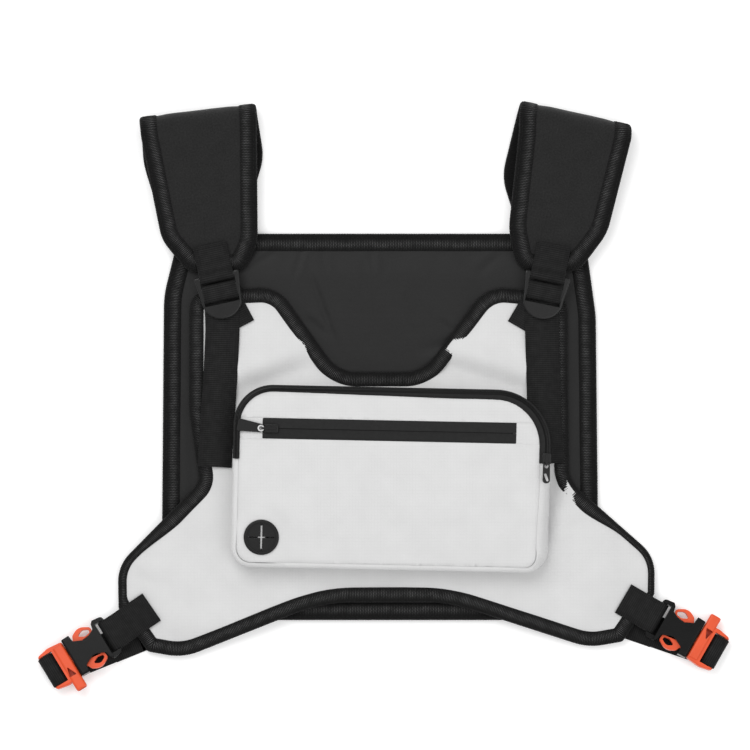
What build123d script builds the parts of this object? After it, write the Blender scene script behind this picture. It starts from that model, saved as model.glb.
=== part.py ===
"""Chest pack vest, lying on its back: a padded back panel, a padded front panel with a zipped
pocket, two folded shoulder pads with adjustable webbing, and two side straps with whistle buckles.

Millimetres. +X is the wearer's left, +Y points to the shoulders, +Z out of the chest.
The origin is the centre of the back panel's rear face. In the names, "left" is the -X side and
"right" the +X side, as seen from the front.
"""

import os
from math import atan2, degrees, hypot, radians, sin, tan

from build123d import *

os.makedirs("parts", exist_ok=True)

# clearances
GAP = 0.4

# webbing
WEB_THICK = 1.1
SHOULDER_WEB = 26.0
SIDE_WEB = 25.0
BAR_RADIUS = 1.6
WRAP_INNER = BAR_RADIUS + GAP
WRAP_OUTER = WRAP_INNER + WEB_THICK

# back panel, layer heights from the floor
BACK_LINING_TOP = 1.0
BACK_FOAM_TOP = 6.0
BACK_TOP = 7.0
BACK_BINDING_TOP = 7.6
BACK_BINDING_WIDTH = 12.0

# front panel, which lies on the back panel
FRONT_BASE = 8.0
FRONT_LINING_TOP = 8.8
FRONT_FOAM_TOP = 12.2
FRONT_TOP = 13.0
FRONT_BINDING_TOP = 13.6
FRONT_BINDING_WIDTH = 10.0

# chest pocket, in its own frame, turned a little on the panel
POCKET_CENTRE = (8.0, -39.0)
POCKET_TURN = -1.2
POCKET_HALF_WIDTH = 120.4
POCKET_HALF_HEIGHT = 69.3
POCKET_WALL = 1.2
POCKET_STEP = 16.6
POCKET_UNDERCUT = 15.0
POCKET_RIM_BASE = 34.4
POCKET_FACE_BASE = 35.0
POCKET_FACE_TOP = 36.2
POCKET_DIVIDER = 25.0
MAIN_ZIP_END = 12.9
MAIN_ZIP_WIDTH = 8.0
MAIN_COIL_INSET = 1.4
PIPING_WIDTH = 4.0

# zip on the pocket's face
FRONT_ZIP_CENTRE = (-2.0, 36.2)
FRONT_ZIP_LENGTH = 191.6
FRONT_ZIP_WIDTH = 16.2
COIL_WIDTH = 3.0
COIL_HEIGHT = 0.5
STOP_LENGTH = 2.0

# zip sliders and their pulls, whose hinge lies in a notch at the slider's end
FRONT_SLIDER_LENGTH = 12.2
FRONT_SLIDER_X = -90.2
MAIN_SLIDER_LENGTH = 9.0
MAIN_SLIDER_Y = 17.4
SLIDER_WIDTH = 6.6
SLIDER_TOP = 2.0
SLIDER_FLANGE = 0.6
TUNNEL_HALF_WIDTH = 2.1
TUNNEL_TOP = 1.2
NOTCH_LENGTH = 1.8
BRIDGE_HALF_WIDTH = 0.8
BRIDGE_LOW = 2.4
BRIDGE_TOP = 3.2
NOSE_LENGTH = 0.8
NOSE_LOW = 1.1
EYE_CENTRE = -1.1
EYE_RADIUS = 1.5
RING_RADIUS = 2.5
RING_LOW = 1.05
RING_TOP = 1.75
NECK_WALL = 0.4
PULL_LOW = 0.2
PULL_TOP = 1.0
FRONT_PULL_TURN = -8.0

# rubber cable port
PORT_CENTRE = (-97.4, -46.5)
PORT_RADIUS = 13.4
PORT_RECESS_RADIUS = 11.2
PORT_HOLE_RADIUS = 10.6
PORT_NECK_RADIUS = 9.4
PORT_NECK_DEPTH = 1.4
PORT_HEIGHT = 1.8
PORT_DISC_TOP = 0.8
SLIT_LENGTH = 19.6
SLIT_HALF_WIDTHS = (0.45, 0.65)

# shoulder pads
PAD_THICK = 7.0
PAD_FOLD_INNER = 3.7
PAD_FOLD_OUTER = PAD_FOLD_INNER + PAD_THICK
PAD_FOLD_HEIGHT = PAD_FOLD_OUTER + 0.3
PAD_SLOPE = 3.2
PAD_PATCH_START = 7.0
PAD_PATCH_LENGTH = 18.3
PAD_END_TOP = 16.0

# ladder locks
LOCK_HEIGHT = 19.2
LOCK_THICK = 3.2
MIDDLE_BAR = -11.4
MIDDLE_BAR_FLAT = 3.6
LOCK_SLOT_END = -20.6
LOCK_OUTLINE = [
    (-17.8, 2.6, 2),
    (-15.5, -15.4, 6),
    (-15.5, -32.2, 15.3),
    (15.5, -32.2, 15.3),
    (15.5, -15.4, 6),
    (17.8, 2.6, 2),
]

# side-release whistle buckles, in a frame at the middle of the mouth, x outwards
BUCKLE_HEIGHT = 9.4
BUCKLE_ROLL = 8.0
BUCKLE_THICK = 11.0
BUCKLE_EDGE = 1.5
CAVITY_HALF_WIDTH = 12.6
CAVITY_HALF_HEIGHT = 3.1
CAVITY_END = -27.4
REAR_BAR = -33.6
REAR_SLOT = -28.6
REAR_HALF_THICK = 3.2
OUTER_BAR = 19.6
OUTER_SLOT = 10.4
FRAME_THICK = 7.0
FRAME_EDGE = 1.2
GUIDE_LENGTH = 23.0
PRONG_THICK = 4.8
WHISTLE_CENTRE = 4.6
WHISTLE_HALF_WIDTH = 4.3
WHISTLE_HALF_HEIGHT = 4.4
WHISTLE_EDGE = 2.0
WHISTLE_ENDS = (-13.0, 23.8)
WHISTLE_WALL = 1.3
WHISTLE_BORE_START = 4.6

# outlines: corner x, corner y, corner radius
BACK_OUTLINE = [
    (-153, 146.7, 14),
    (-164.5, 100, 70),
    (-166.5, -146.7, 34),
    (166.0, -146.7, 34),
    (163.5, 85, 90),
    (155, 146.7, 14),
]
FRONT_OUTLINE = [
    (-145, 103, 14),
    (-145.3, 12, 80),
    (-137, -42, 12),
    (-199.5, -105.5, 30),
    (-199, -138, 3),
    (-177, -170.5, 4),
    (-150, -175.4, 45),
    (-44, -133, 130),
    (50, -132.5, 130),
    (158, -167.5, 45),
    (184, -163, 4),
    (208, -127, 3),
    (208.3, -98.5, 28),
    (143, -41, 25),
    (141.7, 101, 14),
    (80.8, 106.4, 28),
    (32.3, 41.5, 28),
    (-32.5, 41.5, 28),
    (-78, 106, 26),
]
FEMALE_OUTLINE = [
    (-0.2, -15.8, 1),
    (-0.2, 15.8, 1),
    (-14, 16.2, 10),
    (-25, 17.0, 3),
    (-36.4, 15.6, 3),
    (-36.4, -15.6, 3),
    (-25, -17.0, 3),
    (-14, -16.2, 10),
]
WINDOW = [
    (-6.8, 17.5, 0.8),
    (-7.4, 10.4, 2),
    (-16.5, 6.2, 7),
    (-25.2, 10.0, 2),
    (-26.0, 14.2, 2),
    (-30.5, 19.0, 2),
    (-30.5, 24, 2),
    (-6.8, 24, 2),
]
FRAME_OUTLINE = [
    (0.2, -15.0, 1.5),
    (0.2, 15.0, 1.5),
    (12, 16.2, 6),
    (22, 14.2, 3),
    (22, -14.2, 3),
    (12, -16.2, 6),
]
PRONG_PROFILE = [
    (-1.3, 7.6, 0.5),
    (-1.3, 10.6, 0.5),
    (-7.8, 10.9, 1.5),
    (-9.4, 14.4, 2),
    (-16.4, 18.0, 8),
    (-24.4, 13.2, 2),
    (-24.0, 8.8, 2),
    (-14.0, 7.6, 6),
]
PRONG_EYE = [
    (-12.4, 11.8, 1.0),
    (-17.6, 14.8, 4),
    (-22.4, 12.2, 1.0),
    (-22.0, 9.8, 1.0),
    (-17.5, 9.0, 3),
]
WHISTLE_WINDOW = [
    (6.2, 3.8, 0.4),
    (2.4, 12.2, 0.4),
    (8.4, 12.0, 0.4),
]


class Pad:
    """One shoulder pad: the line of its fold over the shoulder and the outlines of its layers."""

    def __init__(self, fold_middle, fold_turn, fold_width, front, rear):
        self.fold = Location((*fold_middle, 0), (0, 0, fold_turn))
        self.fold_width = fold_width
        self.front = front
        self.rear = rear


PADS = {
    "left": Pad(
        fold_middle=(-139.4, 241.4),
        fold_turn=6.8,
        fold_width=84.0,
        front=[
            (-184, 262, 5),
            (-182, 222, 60),
            (-166, 142, 30),
            (-146, 117.5, 14),
            (-104, 117.5, 14),
            (-93.5, 140, 30),
            (-94.5, 262, 5),
        ],
        rear=[
            (-184, 262, 5),
            (-180, 200, 60),
            (-164, 147.4, 2),
            (-106, 147.4, 2),
            (-89, 205, 40),
            (-98, 262, 5),
        ],
    ),
    "right": Pad(
        fold_middle=(148.6, 239.6),
        fold_turn=-12.4,
        fold_width=80.0,
        front=[
            (106, 262, 5),
            (105.5, 225, 60),
            (97.5, 150, 50),
            (104, 117.5, 16),
            (150, 117.5, 18),
            (172, 147, 40),
            (191, 222, 12),
            (190, 262, 5),
        ],
        rear=[
            (110, 262, 5),
            (92.5, 190, 40),
            (106, 147.4, 2),
            (162, 147.4, 2),
            (186, 220, 30),
            (190, 262, 5),
        ],
    ),
}


class Lock:
    """One ladder lock: where its top bar lies, and the webbing threaded through it."""

    def __init__(self, bar, turn, sewn_end, tail_start, tail_end):
        self.place = Location((*bar, LOCK_HEIGHT), (0, 0, turn))
        self.sewn_end = sewn_end
        self.tail_start = tail_start
        self.tail_end = tail_end


LOCKS = {
    "left": Lock(
        bar=(-124.4, 113.8),
        turn=12.5,
        sewn_end=(-107.5, 75.2),
        tail_start=(-119.6, 92.3),
        tail_end=(-126.8, -30.4),
    ),
    "right": Lock(
        bar=(126.8, 113.6),
        turn=-11.5,
        sewn_end=(108.0, 73.9),
        tail_start=(122.4, 92.0),
        tail_end=(127.7, -22.0),
    ),
}


class Buckle:
    """One side buckle: the middle of its mouth, its heading, and the webbing at both ends."""

    def __init__(self, mouth, heading, roll, patch_end, strap_start):
        self.place = Location((*mouth, BUCKLE_HEIGHT), (0, 0, heading)) * Rot(roll, 0, 0)
        self.patch_end = patch_end
        self.strap_start = strap_start


BUCKLES = {
    "left": Buckle(
        mouth=(-234.8, -176.3),
        heading=211.5,
        roll=BUCKLE_ROLL,
        patch_end=(-174.0, -136.8),
        strap_start=(-128.0, -136.2),
    ),
    "right": Buckle(
        mouth=(239.4, -162.3),
        heading=-30.0,
        roll=-BUCKLE_ROLL,
        patch_end=(184.4, -130.4),
        strap_start=(128.0, -128.0),
    ),
}


def save(name, shape):
    export_step(shape, f"parts/{name}.step")


def outline(corners):
    """A face bounded by straight runs, with an arc of the given radius at each corner."""
    edges = []
    starts, ends, middles = [], [], []
    count = len(corners)
    for i, (x, y, radius) in enumerate(corners):
        here = Vector(x, y)
        to_last = (Vector(*corners[i - 1][:2]) - here).normalized()
        to_next = (Vector(*corners[(i + 1) % count][:2]) - here).normalized()
        half = radians(to_last.get_angle(to_next)) / 2
        bisector = (to_last + to_next).normalized()
        starts.append(here + to_last * (radius / tan(half)))
        ends.append(here + to_next * (radius / tan(half)))
        middles.append(here + bisector * (radius / sin(half) - radius))
    for i in range(count):
        edges.append(ThreePointArc(starts[i], middles[i], ends[i]))
        edges.append(Line(ends[i], starts[(i + 1) % count]))
    return make_face(edges)


def plate(face, low, high):
    """A flat solid of a face, between two heights."""
    return extrude(Pos(0, 0, low) * face, high - low, dir=(0, 0, 1))


def block(low, high):
    """A box between two corners."""
    size = [b - a for a, b in zip(low, high)]
    middle = [(a + b) / 2 for a, b in zip(low, high)]
    return Pos(*middle) * Box(*size)


def heading_of(start, end):
    """The direction in degrees and the length of the line from start to end, seen from above."""
    dx, dy = end[0] - start[0], end[1] - start[1]
    return degrees(atan2(dy, dx)), hypot(dx, dy)


def strip(start, end, width, low, high):
    """Flat webbing between two points, between two heights."""
    heading, length = heading_of(start, end)
    lying = Location((*start, 0), (0, 0, heading))
    return lying * block((0, -width / 2, low), (length, width / 2, high))


def wrap(width, along):
    """Webbing wrapped round a bar: a short tube along X or Y."""
    tube = Cylinder(WRAP_OUTER, width) - Cylinder(WRAP_INNER, width)
    return (Rot(0, 90, 0) if along == "x" else Rot(90, 0, 0)) * tube


def bar(length, along):
    """A round bar along X or Y."""
    return (Rot(0, 90, 0) if along == "x" else Rot(90, 0, 0)) * Cylinder(BAR_RADIUS, length)


def back_panel():
    """Lining, foam and outer fabric, with a bound edge round them."""
    full = outline(BACK_OUTLINE)
    inner = offset(full, -BACK_BINDING_WIDTH, kind=Kind.INTERSECTION)
    save("back_lining", plate(inner, 0, BACK_LINING_TOP))
    save("back_foam", plate(inner, BACK_LINING_TOP, BACK_FOAM_TOP))
    save("back_shell", plate(inner, BACK_FOAM_TOP, BACK_TOP))
    save("back_binding", plate(full - inner, 0, BACK_BINDING_TOP))


def front_panel():
    """Lining, foam and outer fabric, and the edge binding in four lengths."""
    full = outline(FRONT_OUTLINE)
    inner = offset(full, -FRONT_BINDING_WIDTH, kind=Kind.INTERSECTION)
    save("front_lining", plate(inner, FRONT_BASE, FRONT_LINING_TOP))
    save("front_foam", plate(inner, FRONT_LINING_TOP, FRONT_FOAM_TOP))
    save("front_shell", plate(inner, FRONT_FOAM_TOP, FRONT_TOP))
    edge = plate(full - inner, FRONT_BASE, FRONT_BINDING_TOP)
    neck_zone = block((-106, 25, 0), (106, 120, 20))
    hem_zone = block((-220, -200, 0), (220, -139, 20)) + block((-110, -140, 0), (110, -110, 20))
    left_zone = block((-220, -200, 0), (0, 120, 20)) - neck_zone - hem_zone
    right_zone = block((0, -200, 0), (220, 120, 20)) - neck_zone - hem_zone
    save("neck_binding", edge & neck_zone)
    save("hem_binding", edge & hem_zone)
    save("side_binding_left", edge & left_zone)
    save("side_binding_right", edge & right_zone)


def pocket_outline(inset, undercut=0.0):
    """The pocket's outline moved in by one amount all round, and by another on its right side."""
    left = -POCKET_HALF_WIDTH + inset
    right = POCKET_HALF_WIDTH - inset - undercut
    foot = -POCKET_HALF_HEIGHT + inset
    top = POCKET_HALF_HEIGHT - inset
    return outline(
        [
            (left, foot, 15 - inset),
            (right, foot, 18 - inset),
            (right, top, 42 - inset),
            (left, top, 30 - inset),
        ]
    )


def pocket():
    """Gusset wall, rim zip and piping, divider, and the face in two pieces above and below its zip."""
    here = Location((*POCKET_CENTRE, 0), (0, 0, POCKET_TURN))
    base = pocket_outline(0)
    inside = pocket_outline(POCKET_WALL)
    foot = pocket_outline(0, POCKET_UNDERCUT)
    foot_inside = pocket_outline(POCKET_WALL, POCKET_UNDERCUT)
    gusset = plate(base - inside, POCKET_STEP, POCKET_RIM_BASE)
    gusset += plate(base - foot_inside, POCKET_STEP, POCKET_STEP + POCKET_WALL)
    gusset += plate(foot - foot_inside, FRONT_TOP, POCKET_STEP)
    save("pocket_gusset", here * gusset)
    divider = pocket_outline(POCKET_WALL + GAP)
    save("pocket_divider", here * plate(divider, POCKET_DIVIDER, POCKET_DIVIDER + 0.6))

    above = block((-130, MAIN_ZIP_END, 0), (130, 80, 50))
    below = block((-130, -80, 0), (130, MAIN_ZIP_END, 50))
    zip_inner = pocket_outline(MAIN_ZIP_WIDTH)
    piping_inner = pocket_outline(PIPING_WIDTH)
    tape = plate(base - zip_inner, POCKET_RIM_BASE, POCKET_FACE_TOP) & above
    piping = plate(base - piping_inner, POCKET_RIM_BASE, POCKET_FACE_TOP) & below
    coil_outer = pocket_outline(MAIN_COIL_INSET)
    coil_inner = pocket_outline(MAIN_COIL_INSET + COIL_WIDTH)
    coil_top = POCKET_FACE_TOP + COIL_HEIGHT
    coil = plate(coil_outer - coil_inner, POCKET_FACE_TOP, coil_top) & above
    save("main_zip_tape", here * tape)
    save("main_zip_coil", here * coil)
    save("pocket_piping", here * piping)

    face = plate(zip_inner, POCKET_FACE_BASE, POCKET_FACE_TOP) & above
    face += plate(piping_inner, POCKET_FACE_BASE, POCKET_FACE_TOP) & below
    x, y = FRONT_ZIP_CENTRE
    half_length, half_width = FRONT_ZIP_LENGTH / 2, FRONT_ZIP_WIDTH / 2
    face -= block((x - half_length, y - half_width, 0), (x + half_length, y + half_width, 50))
    face -= Pos(*PORT_CENTRE, 0) * Cylinder(PORT_HOLE_RADIUS, 100)
    save("pocket_face_upper", here * (face & block((-130, y, 0), (130, 80, 50))))
    save("pocket_face_lower", here * (face & block((-130, -80, 0), (130, y, 50))))


def front_zip():
    """Two tapes with the coil between them, and a stop at each end."""
    here = Location((*POCKET_CENTRE, 0), (0, 0, POCKET_TURN)) * Pos(*FRONT_ZIP_CENTRE, 0)
    low, high = POCKET_FACE_BASE, POCKET_FACE_TOP - 0.2
    half_length, half_width = FRONT_ZIP_LENGTH / 2, FRONT_ZIP_WIDTH / 2
    half_coil = COIL_WIDTH / 2
    upper = block((-half_length, half_coil, low), (half_length, half_width, high))
    lower = block((-half_length, -half_width, low), (half_length, -half_coil, high))
    save("front_zip_tape", here * (upper + lower))
    coil_end = half_length - STOP_LENGTH
    coil = block((-coil_end, -half_coil, low), (coil_end, half_coil, high))
    save("front_zip_coil", here * coil)
    stops = [
        block((x, -half_coil, low), (x + STOP_LENGTH, half_coil, high + 0.4))
        for x in (-half_length, coil_end)
    ]
    save("front_zip_stops", here * (stops[0] + stops[1]))


def top_edges(solid):
    """The edges round the uppermost face of a solid."""
    return solid.faces().sort_by(Axis.Z)[-1].edges()


def slider(length):
    """A zip slider along X, hollowed over the coil. Its end at -X has a notch, and a bridge over it
    whose nose hooks the eye of the pull."""
    half = length / 2
    body = block((-half, -SLIDER_WIDTH / 2, 0), (half, SLIDER_WIDTH / 2, SLIDER_TOP))
    body = fillet(body.edges().filter_by(Axis.Z), 1.6)
    body = fillet(top_edges(body), 0.6)
    body -= block((-half, -TUNNEL_HALF_WIDTH, 0), (half, TUNNEL_HALF_WIDTH, TUNNEL_TOP))
    y = SLIDER_WIDTH / 2
    body -= block((-half, -y, SLIDER_FLANGE), (-half + NOTCH_LENGTH, y, SLIDER_TOP))
    w = BRIDGE_HALF_WIDTH
    bridge = block((-half - NOSE_LENGTH, -w, BRIDGE_LOW), (half - 2, w, BRIDGE_TOP))
    nose = block((-half - NOSE_LENGTH, -w, NOSE_LOW), (-half, w, BRIDGE_TOP))
    post = block((half - 3.2, -w, SLIDER_TOP - 0.2), (half - 2, w, BRIDGE_TOP))
    return body + bridge + nose + post


def zip_sliders():
    """The slider and pull of both zips. A pull's origin is the centre of its eye. The ring of the
    front pull has a half neck that sits in the fork of the tab, clear of the slider's nose."""
    pocket_frame = Location((*POCKET_CENTRE, 0), (0, 0, POCKET_TURN))
    level = POCKET_FACE_TOP + GAP
    x, y = FRONT_ZIP_CENTRE
    front = pocket_frame * Pos(x + FRONT_SLIDER_X, y, level)
    save("front_zip_slider", front * slider(FRONT_SLIDER_LENGTH))
    eye = front * Pos(-FRONT_SLIDER_LENGTH / 2 + EYE_CENTRE, 0, 0)
    ring = plate(Circle(RING_RADIUS) - Circle(EYE_RADIUS), RING_LOW, RING_TOP)
    neck = plate(Circle(EYE_RADIUS + NECK_WALL) - Circle(EYE_RADIUS), PULL_LOW, RING_LOW)
    neck -= block((-0.2, -RING_RADIUS, PULL_LOW), (RING_RADIUS, RING_RADIUS, RING_LOW))
    save("front_zip_ring", eye * (ring + neck))
    tab = outline([(0.9, 3.1, 0.8), (0.9, -3.1, 0.8), (-18.0, -4.9, 1.6), (-18.0, 4.9, 1.6)])
    tab = plate(tab - Circle(EYE_RADIUS + NECK_WALL + 0.15), PULL_LOW, PULL_TOP)
    save("front_zip_pull", eye * Rot(0, 0, FRONT_PULL_TURN) * tab)

    rail = POCKET_HALF_WIDTH - MAIN_COIL_INSET - COIL_WIDTH / 2
    main = pocket_frame * Location((rail, MAIN_SLIDER_Y, level), (0, 0, 90))
    save("main_zip_slider", main * slider(MAIN_SLIDER_LENGTH))
    eye = main * Pos(-MAIN_SLIDER_LENGTH / 2 + EYE_CENTRE, 0, 0)
    tab = outline([(2.5, 2.6, 2.3), (2.5, -2.6, 2.3), (-13.0, -2.9, 2.7), (-13.0, 2.9, 2.7)])
    slot = Pos(-8.4, 0) * Rot(0, 0, 20) * SlotOverall(6.2, 1.8)
    save("main_zip_pull", eye * plate(tab - Circle(EYE_RADIUS) - slot, RING_LOW, RING_TOP))


def cable_port():
    """A rubber grommet in the pocket's face: a rounded flange, a neck through the face, and a
    recessed disc slit in a cross."""
    flange = fillet(top_edges(plate(Circle(PORT_RADIUS), 0, PORT_HEIGHT)), 1.1)
    flange -= plate(Circle(PORT_RECESS_RADIUS), PORT_DISC_TOP, PORT_HEIGHT)
    neck = plate(Circle(PORT_HOLE_RADIUS - 0.1) - Circle(PORT_NECK_RADIUS), -PORT_NECK_DEPTH, 0)
    port = flange + neck
    half = SLIT_LENGTH / 2
    across, along = SLIT_HALF_WIDTHS
    port -= block((-half, -across, -2), (half, across, 2))
    port -= block((-along, -half, -2), (along, half, 2))
    here = Location((*POCKET_CENTRE, 0), (0, 0, POCKET_TURN))
    save("cable_port", here * Pos(*PORT_CENTRE, POCKET_FACE_TOP) * port)


def shoulder_pad(side, pad):
    """Rear layer, fold over the shoulder, and front layer, all one thickness."""
    keep = pad.fold * block((-80, -200, -1), (80, -PAD_FOLD_OUTER, 60))
    rear = plate(outline(pad.rear), 0.3, 0.3 + PAD_THICK)
    save(f"pad_rear_{side}", rear & keep)

    front_low = PAD_FOLD_HEIGHT + PAD_FOLD_INNER
    front = plate(outline(pad.front), front_low, front_low + PAD_THICK)
    hinge = pad.fold * Pos(0, -PAD_FOLD_OUTER, front_low)
    turn = hinge * Rot(PAD_SLOPE, 0, 0) * hinge.inverse()
    save(f"pad_front_{side}", turn * (front & keep))

    ring = Cylinder(PAD_FOLD_OUTER, pad.fold_width) - Cylinder(PAD_FOLD_INNER, pad.fold_width)
    ring = Rot(0, 90, 0) * ring & block((-100, 0, -20), (100, 20, 20))
    save(f"pad_fold_{side}", pad.fold * Pos(0, -PAD_FOLD_OUTER, PAD_FOLD_HEIGHT) * ring)


def pad_loop(side, lock):
    """Webbing sewn on the pad's end and folded round the ladder lock's top bar."""
    fold = wrap(SHOULDER_WEB, "x")
    half = SHOULDER_WEB / 2
    low = PAD_END_TOP - LOCK_HEIGHT
    sewn = block((-half, 0, 0), (half, PAD_PATCH_LENGTH, WEB_THICK))
    sewn = Location((0, PAD_PATCH_START, low), (PAD_SLOPE, 0, 0)) * sewn
    neck = block((-half, 1.0, low), (half, PAD_PATCH_START + 0.2, low + WEB_THICK))
    neck -= Rot(0, 90, 0) * Cylinder(WRAP_INNER, 2 * SHOULDER_WEB)
    save(f"pad_loop_{side}", lock.place * (fold + neck + sewn))


def flat_round(radius, width):
    """A flattened round along X: two half rounds of a radius, apart by the middle bar's flat."""
    flat = block((-width / 2, -MIDDLE_BAR_FLAT, -radius), (width / 2, MIDDLE_BAR_FLAT, radius))
    for y in (-MIDDLE_BAR_FLAT, MIDDLE_BAR_FLAT):
        flat += Pos(0, y, 0) * Rot(0, 90, 0) * Cylinder(radius, width)
    return flat


def ladder_lock(side, lock):
    """A top bar and a wide middle bar between two rails, with a rounded thumb lip."""
    body = plate(outline(LOCK_OUTLINE), -LOCK_THICK / 2, LOCK_THICK / 2)
    body = fillet(top_edges(body), 1.2)
    clear = SHOULDER_WEB / 2 + GAP
    body -= block((-clear, LOCK_SLOT_END, -5), (clear, 5, 5))
    across = 2 * clear + 1.0
    body += bar(across, "x")
    body += Pos(0, MIDDLE_BAR, 0) * flat_round(BAR_RADIUS, across)
    save(f"ladder_lock_{side}", lock.place * body)


def shoulder_strap(side, lock):
    """The adjusting strap: sewn on the ear, round the middle bar, and out as a free tail."""
    middle = lock.place * Pos(0, MIDDLE_BAR, 0)
    fold = flat_round(WRAP_OUTER, SHOULDER_WEB) - flat_round(WRAP_INNER, SHOULDER_WEB)
    root = (middle.position.X, middle.position.Y)
    load_low = FRONT_BINDING_TOP + 0.1
    load = strip(root, lock.sewn_end, SHOULDER_WEB, load_low, load_low + WEB_THICK)
    half = SHOULDER_WEB / 2
    foot = block((-half, -1.6, load_low - LOCK_HEIGHT), (half, 1.6, 0.4 - WRAP_OUTER))
    save(f"shoulder_strap_{side}", middle * (fold + foot) + load)
    tail_low = load_low + WEB_THICK + 0.1
    tail = strip(lock.tail_start, lock.tail_end, SHOULDER_WEB, tail_low, tail_low + WEB_THICK)
    save(f"strap_tail_{side}", tail)


def wing_loop(side, buckle):
    """Webbing sewn on the front panel's wing and folded round the female buckle's rear bar."""
    rear = buckle.place * Pos(REAR_BAR, 0, 0)
    fold = rear * wrap(SIDE_WEB, "y")
    end = (rear.position.X, rear.position.Y)
    low = FRONT_BINDING_TOP
    sewn = strip(buckle.patch_end, end, SIDE_WEB, low, low + WEB_THICK)
    half = SIDE_WEB / 2
    ledge = block((-6.0, -half, WRAP_INNER), (0.0, half, WRAP_OUTER))
    riser = block((-6.0, -half, WRAP_INNER), (-6.0 + WEB_THICK, half, 7.6))
    near = rear * block((-6.0 + WEB_THICK, -40, -20), (40, 40, 20))
    save(f"wing_loop_{side}", fold + rear * (ledge + riser) + (sewn - near))


def both_sides(solid):
    """A solid and its mirror image across the buckle's middle."""
    return solid, mirror(solid, Plane.XZ)


def female_buckle(side, buckle):
    """A hollow body with a mouth, two scooped side windows, and a rear bar for the webbing."""
    half_thick = BUCKLE_THICK / 2
    body = plate(outline(FEMALE_OUTLINE), -half_thick, half_thick)
    rims = body.faces().sort_by(Axis.Z)[0].edges() + top_edges(body)
    body = fillet(rims, BUCKLE_EDGE)
    for low, high in ((REAR_HALF_THICK, half_thick), (-half_thick, -REAR_HALF_THICK)):
        body -= block((-60, -40, low), (REAR_SLOT, 40, high))
    clear = SIDE_WEB / 2 + GAP
    body -= block((-60, -clear, -half_thick), (REAR_SLOT, clear, half_thick))
    y, z = CAVITY_HALF_WIDTH, CAVITY_HALF_HEIGHT
    body -= block((CAVITY_END, -y, -z), (1, y, z))
    for scoop in both_sides(plate(outline(WINDOW), -half_thick, half_thick)):
        body -= scoop
    body += Pos(REAR_BAR, 0, 0) * bar(2 * clear + 1.0, "y")
    save(f"female_buckle_{side}", buckle.place * body)


def whistle():
    """A rounded square tube along Y with a bore from its far end and a sound window on top."""
    near, far = WHISTLE_ENDS
    x, z = WHISTLE_HALF_WIDTH, WHISTLE_HALF_HEIGHT
    tube = fillet(block((-x, near, -z), (x, far, z)).edges().filter_by(Axis.Y), WHISTLE_EDGE)
    tube = fillet(tube.faces().sort_by(Axis.Y)[-1].edges(), 1.2)
    x, z = x - WHISTLE_WALL, z - WHISTLE_WALL
    bore = block((-x, WHISTLE_BORE_START, -z), (x, far, z))
    return Pos(WHISTLE_CENTRE, 0, 0) * (tube - bore)


def male_buckle(side, buckle):
    """A frame with a webbing slot and a whistle across it, a centre guide, and two sprung prongs."""
    half_thick = FRAME_THICK / 2
    body = plate(outline(FRAME_OUTLINE), -half_thick, half_thick)
    body = fillet(top_edges(body), FRAME_EDGE)
    clear = SIDE_WEB / 2 + 0.3
    body -= block((OUTER_SLOT, -clear, -half_thick), (40, clear, half_thick))
    body += Pos(OUTER_BAR, 0, 0) * bar(2 * clear + 1.0, "y")
    body -= block((WHISTLE_CENTRE - 3, WHISTLE_BORE_START, -3), (WHISTLE_CENTRE + 3, 20, 3))
    body += whistle()
    body -= plate(outline(WHISTLE_WINDOW), 0, 8)
    body += block((-GUIDE_LENGTH, -3.2, -1.6), (1, 3.2, 1.6))
    save(f"male_buckle_{side}", buckle.place * body)

    prong = plate(outline(PRONG_PROFILE) - outline(PRONG_EYE), -PRONG_THICK / 2, PRONG_THICK / 2)
    for name, half in zip("ab", both_sides(prong)):
        save(f"prong_{side}_{name}", buckle.place * half)


def side_strap(side, buckle):
    """Webbing from the back panel's corner, under the buckle, and a loop round the outer bar."""
    outer = buckle.place * Pos(OUTER_BAR, 0, 0)
    end = (outer.position.X, outer.position.Y)
    strap = strip(buckle.strap_start, end, SIDE_WEB, 0.3, 0.3 + WEB_THICK)
    strap -= plate(outline(BACK_OUTLINE), -1, 20)
    save(f"side_strap_{side}", strap)

    half = SIDE_WEB / 2
    fold = wrap(SIDE_WEB, "y") & block((0, -20, -9), (9, 20, 9))
    top = block((-8.0, -half, WRAP_INNER), (0, half, WRAP_OUTER))
    drop = block((-8.0, -half, -WRAP_OUTER), (-8.0 + WEB_THICK, half, WRAP_OUTER))
    foot = block((-8.0, -half, -WRAP_OUTER), (0, half, -WRAP_INNER))
    save(f"strap_loop_{side}", outer * (fold + top + drop + foot))


back_panel()
front_panel()
pocket()
front_zip()
zip_sliders()
cable_port()
for side_name, pad in PADS.items():
    shoulder_pad(side_name, pad)
for side_name, lock in LOCKS.items():
    pad_loop(side_name, lock)
    ladder_lock(side_name, lock)
    shoulder_strap(side_name, lock)
for side_name, buckle in BUCKLES.items():
    wing_loop(side_name, buckle)
    female_buckle(side_name, buckle)
    male_buckle(side_name, buckle)
    side_strap(side_name, buckle)
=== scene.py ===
"""Looks of the chest pack vest: fabric, binding, webbing, zips and plastic built on the CAD frame.

Lengths are in millimetres in the frame's axes, and become metres where a mesh is made.
"""

from math import cos, pi, radians, sin

import bpy
import numpy as np
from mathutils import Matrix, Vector, geometry, kdtree, noise


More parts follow.
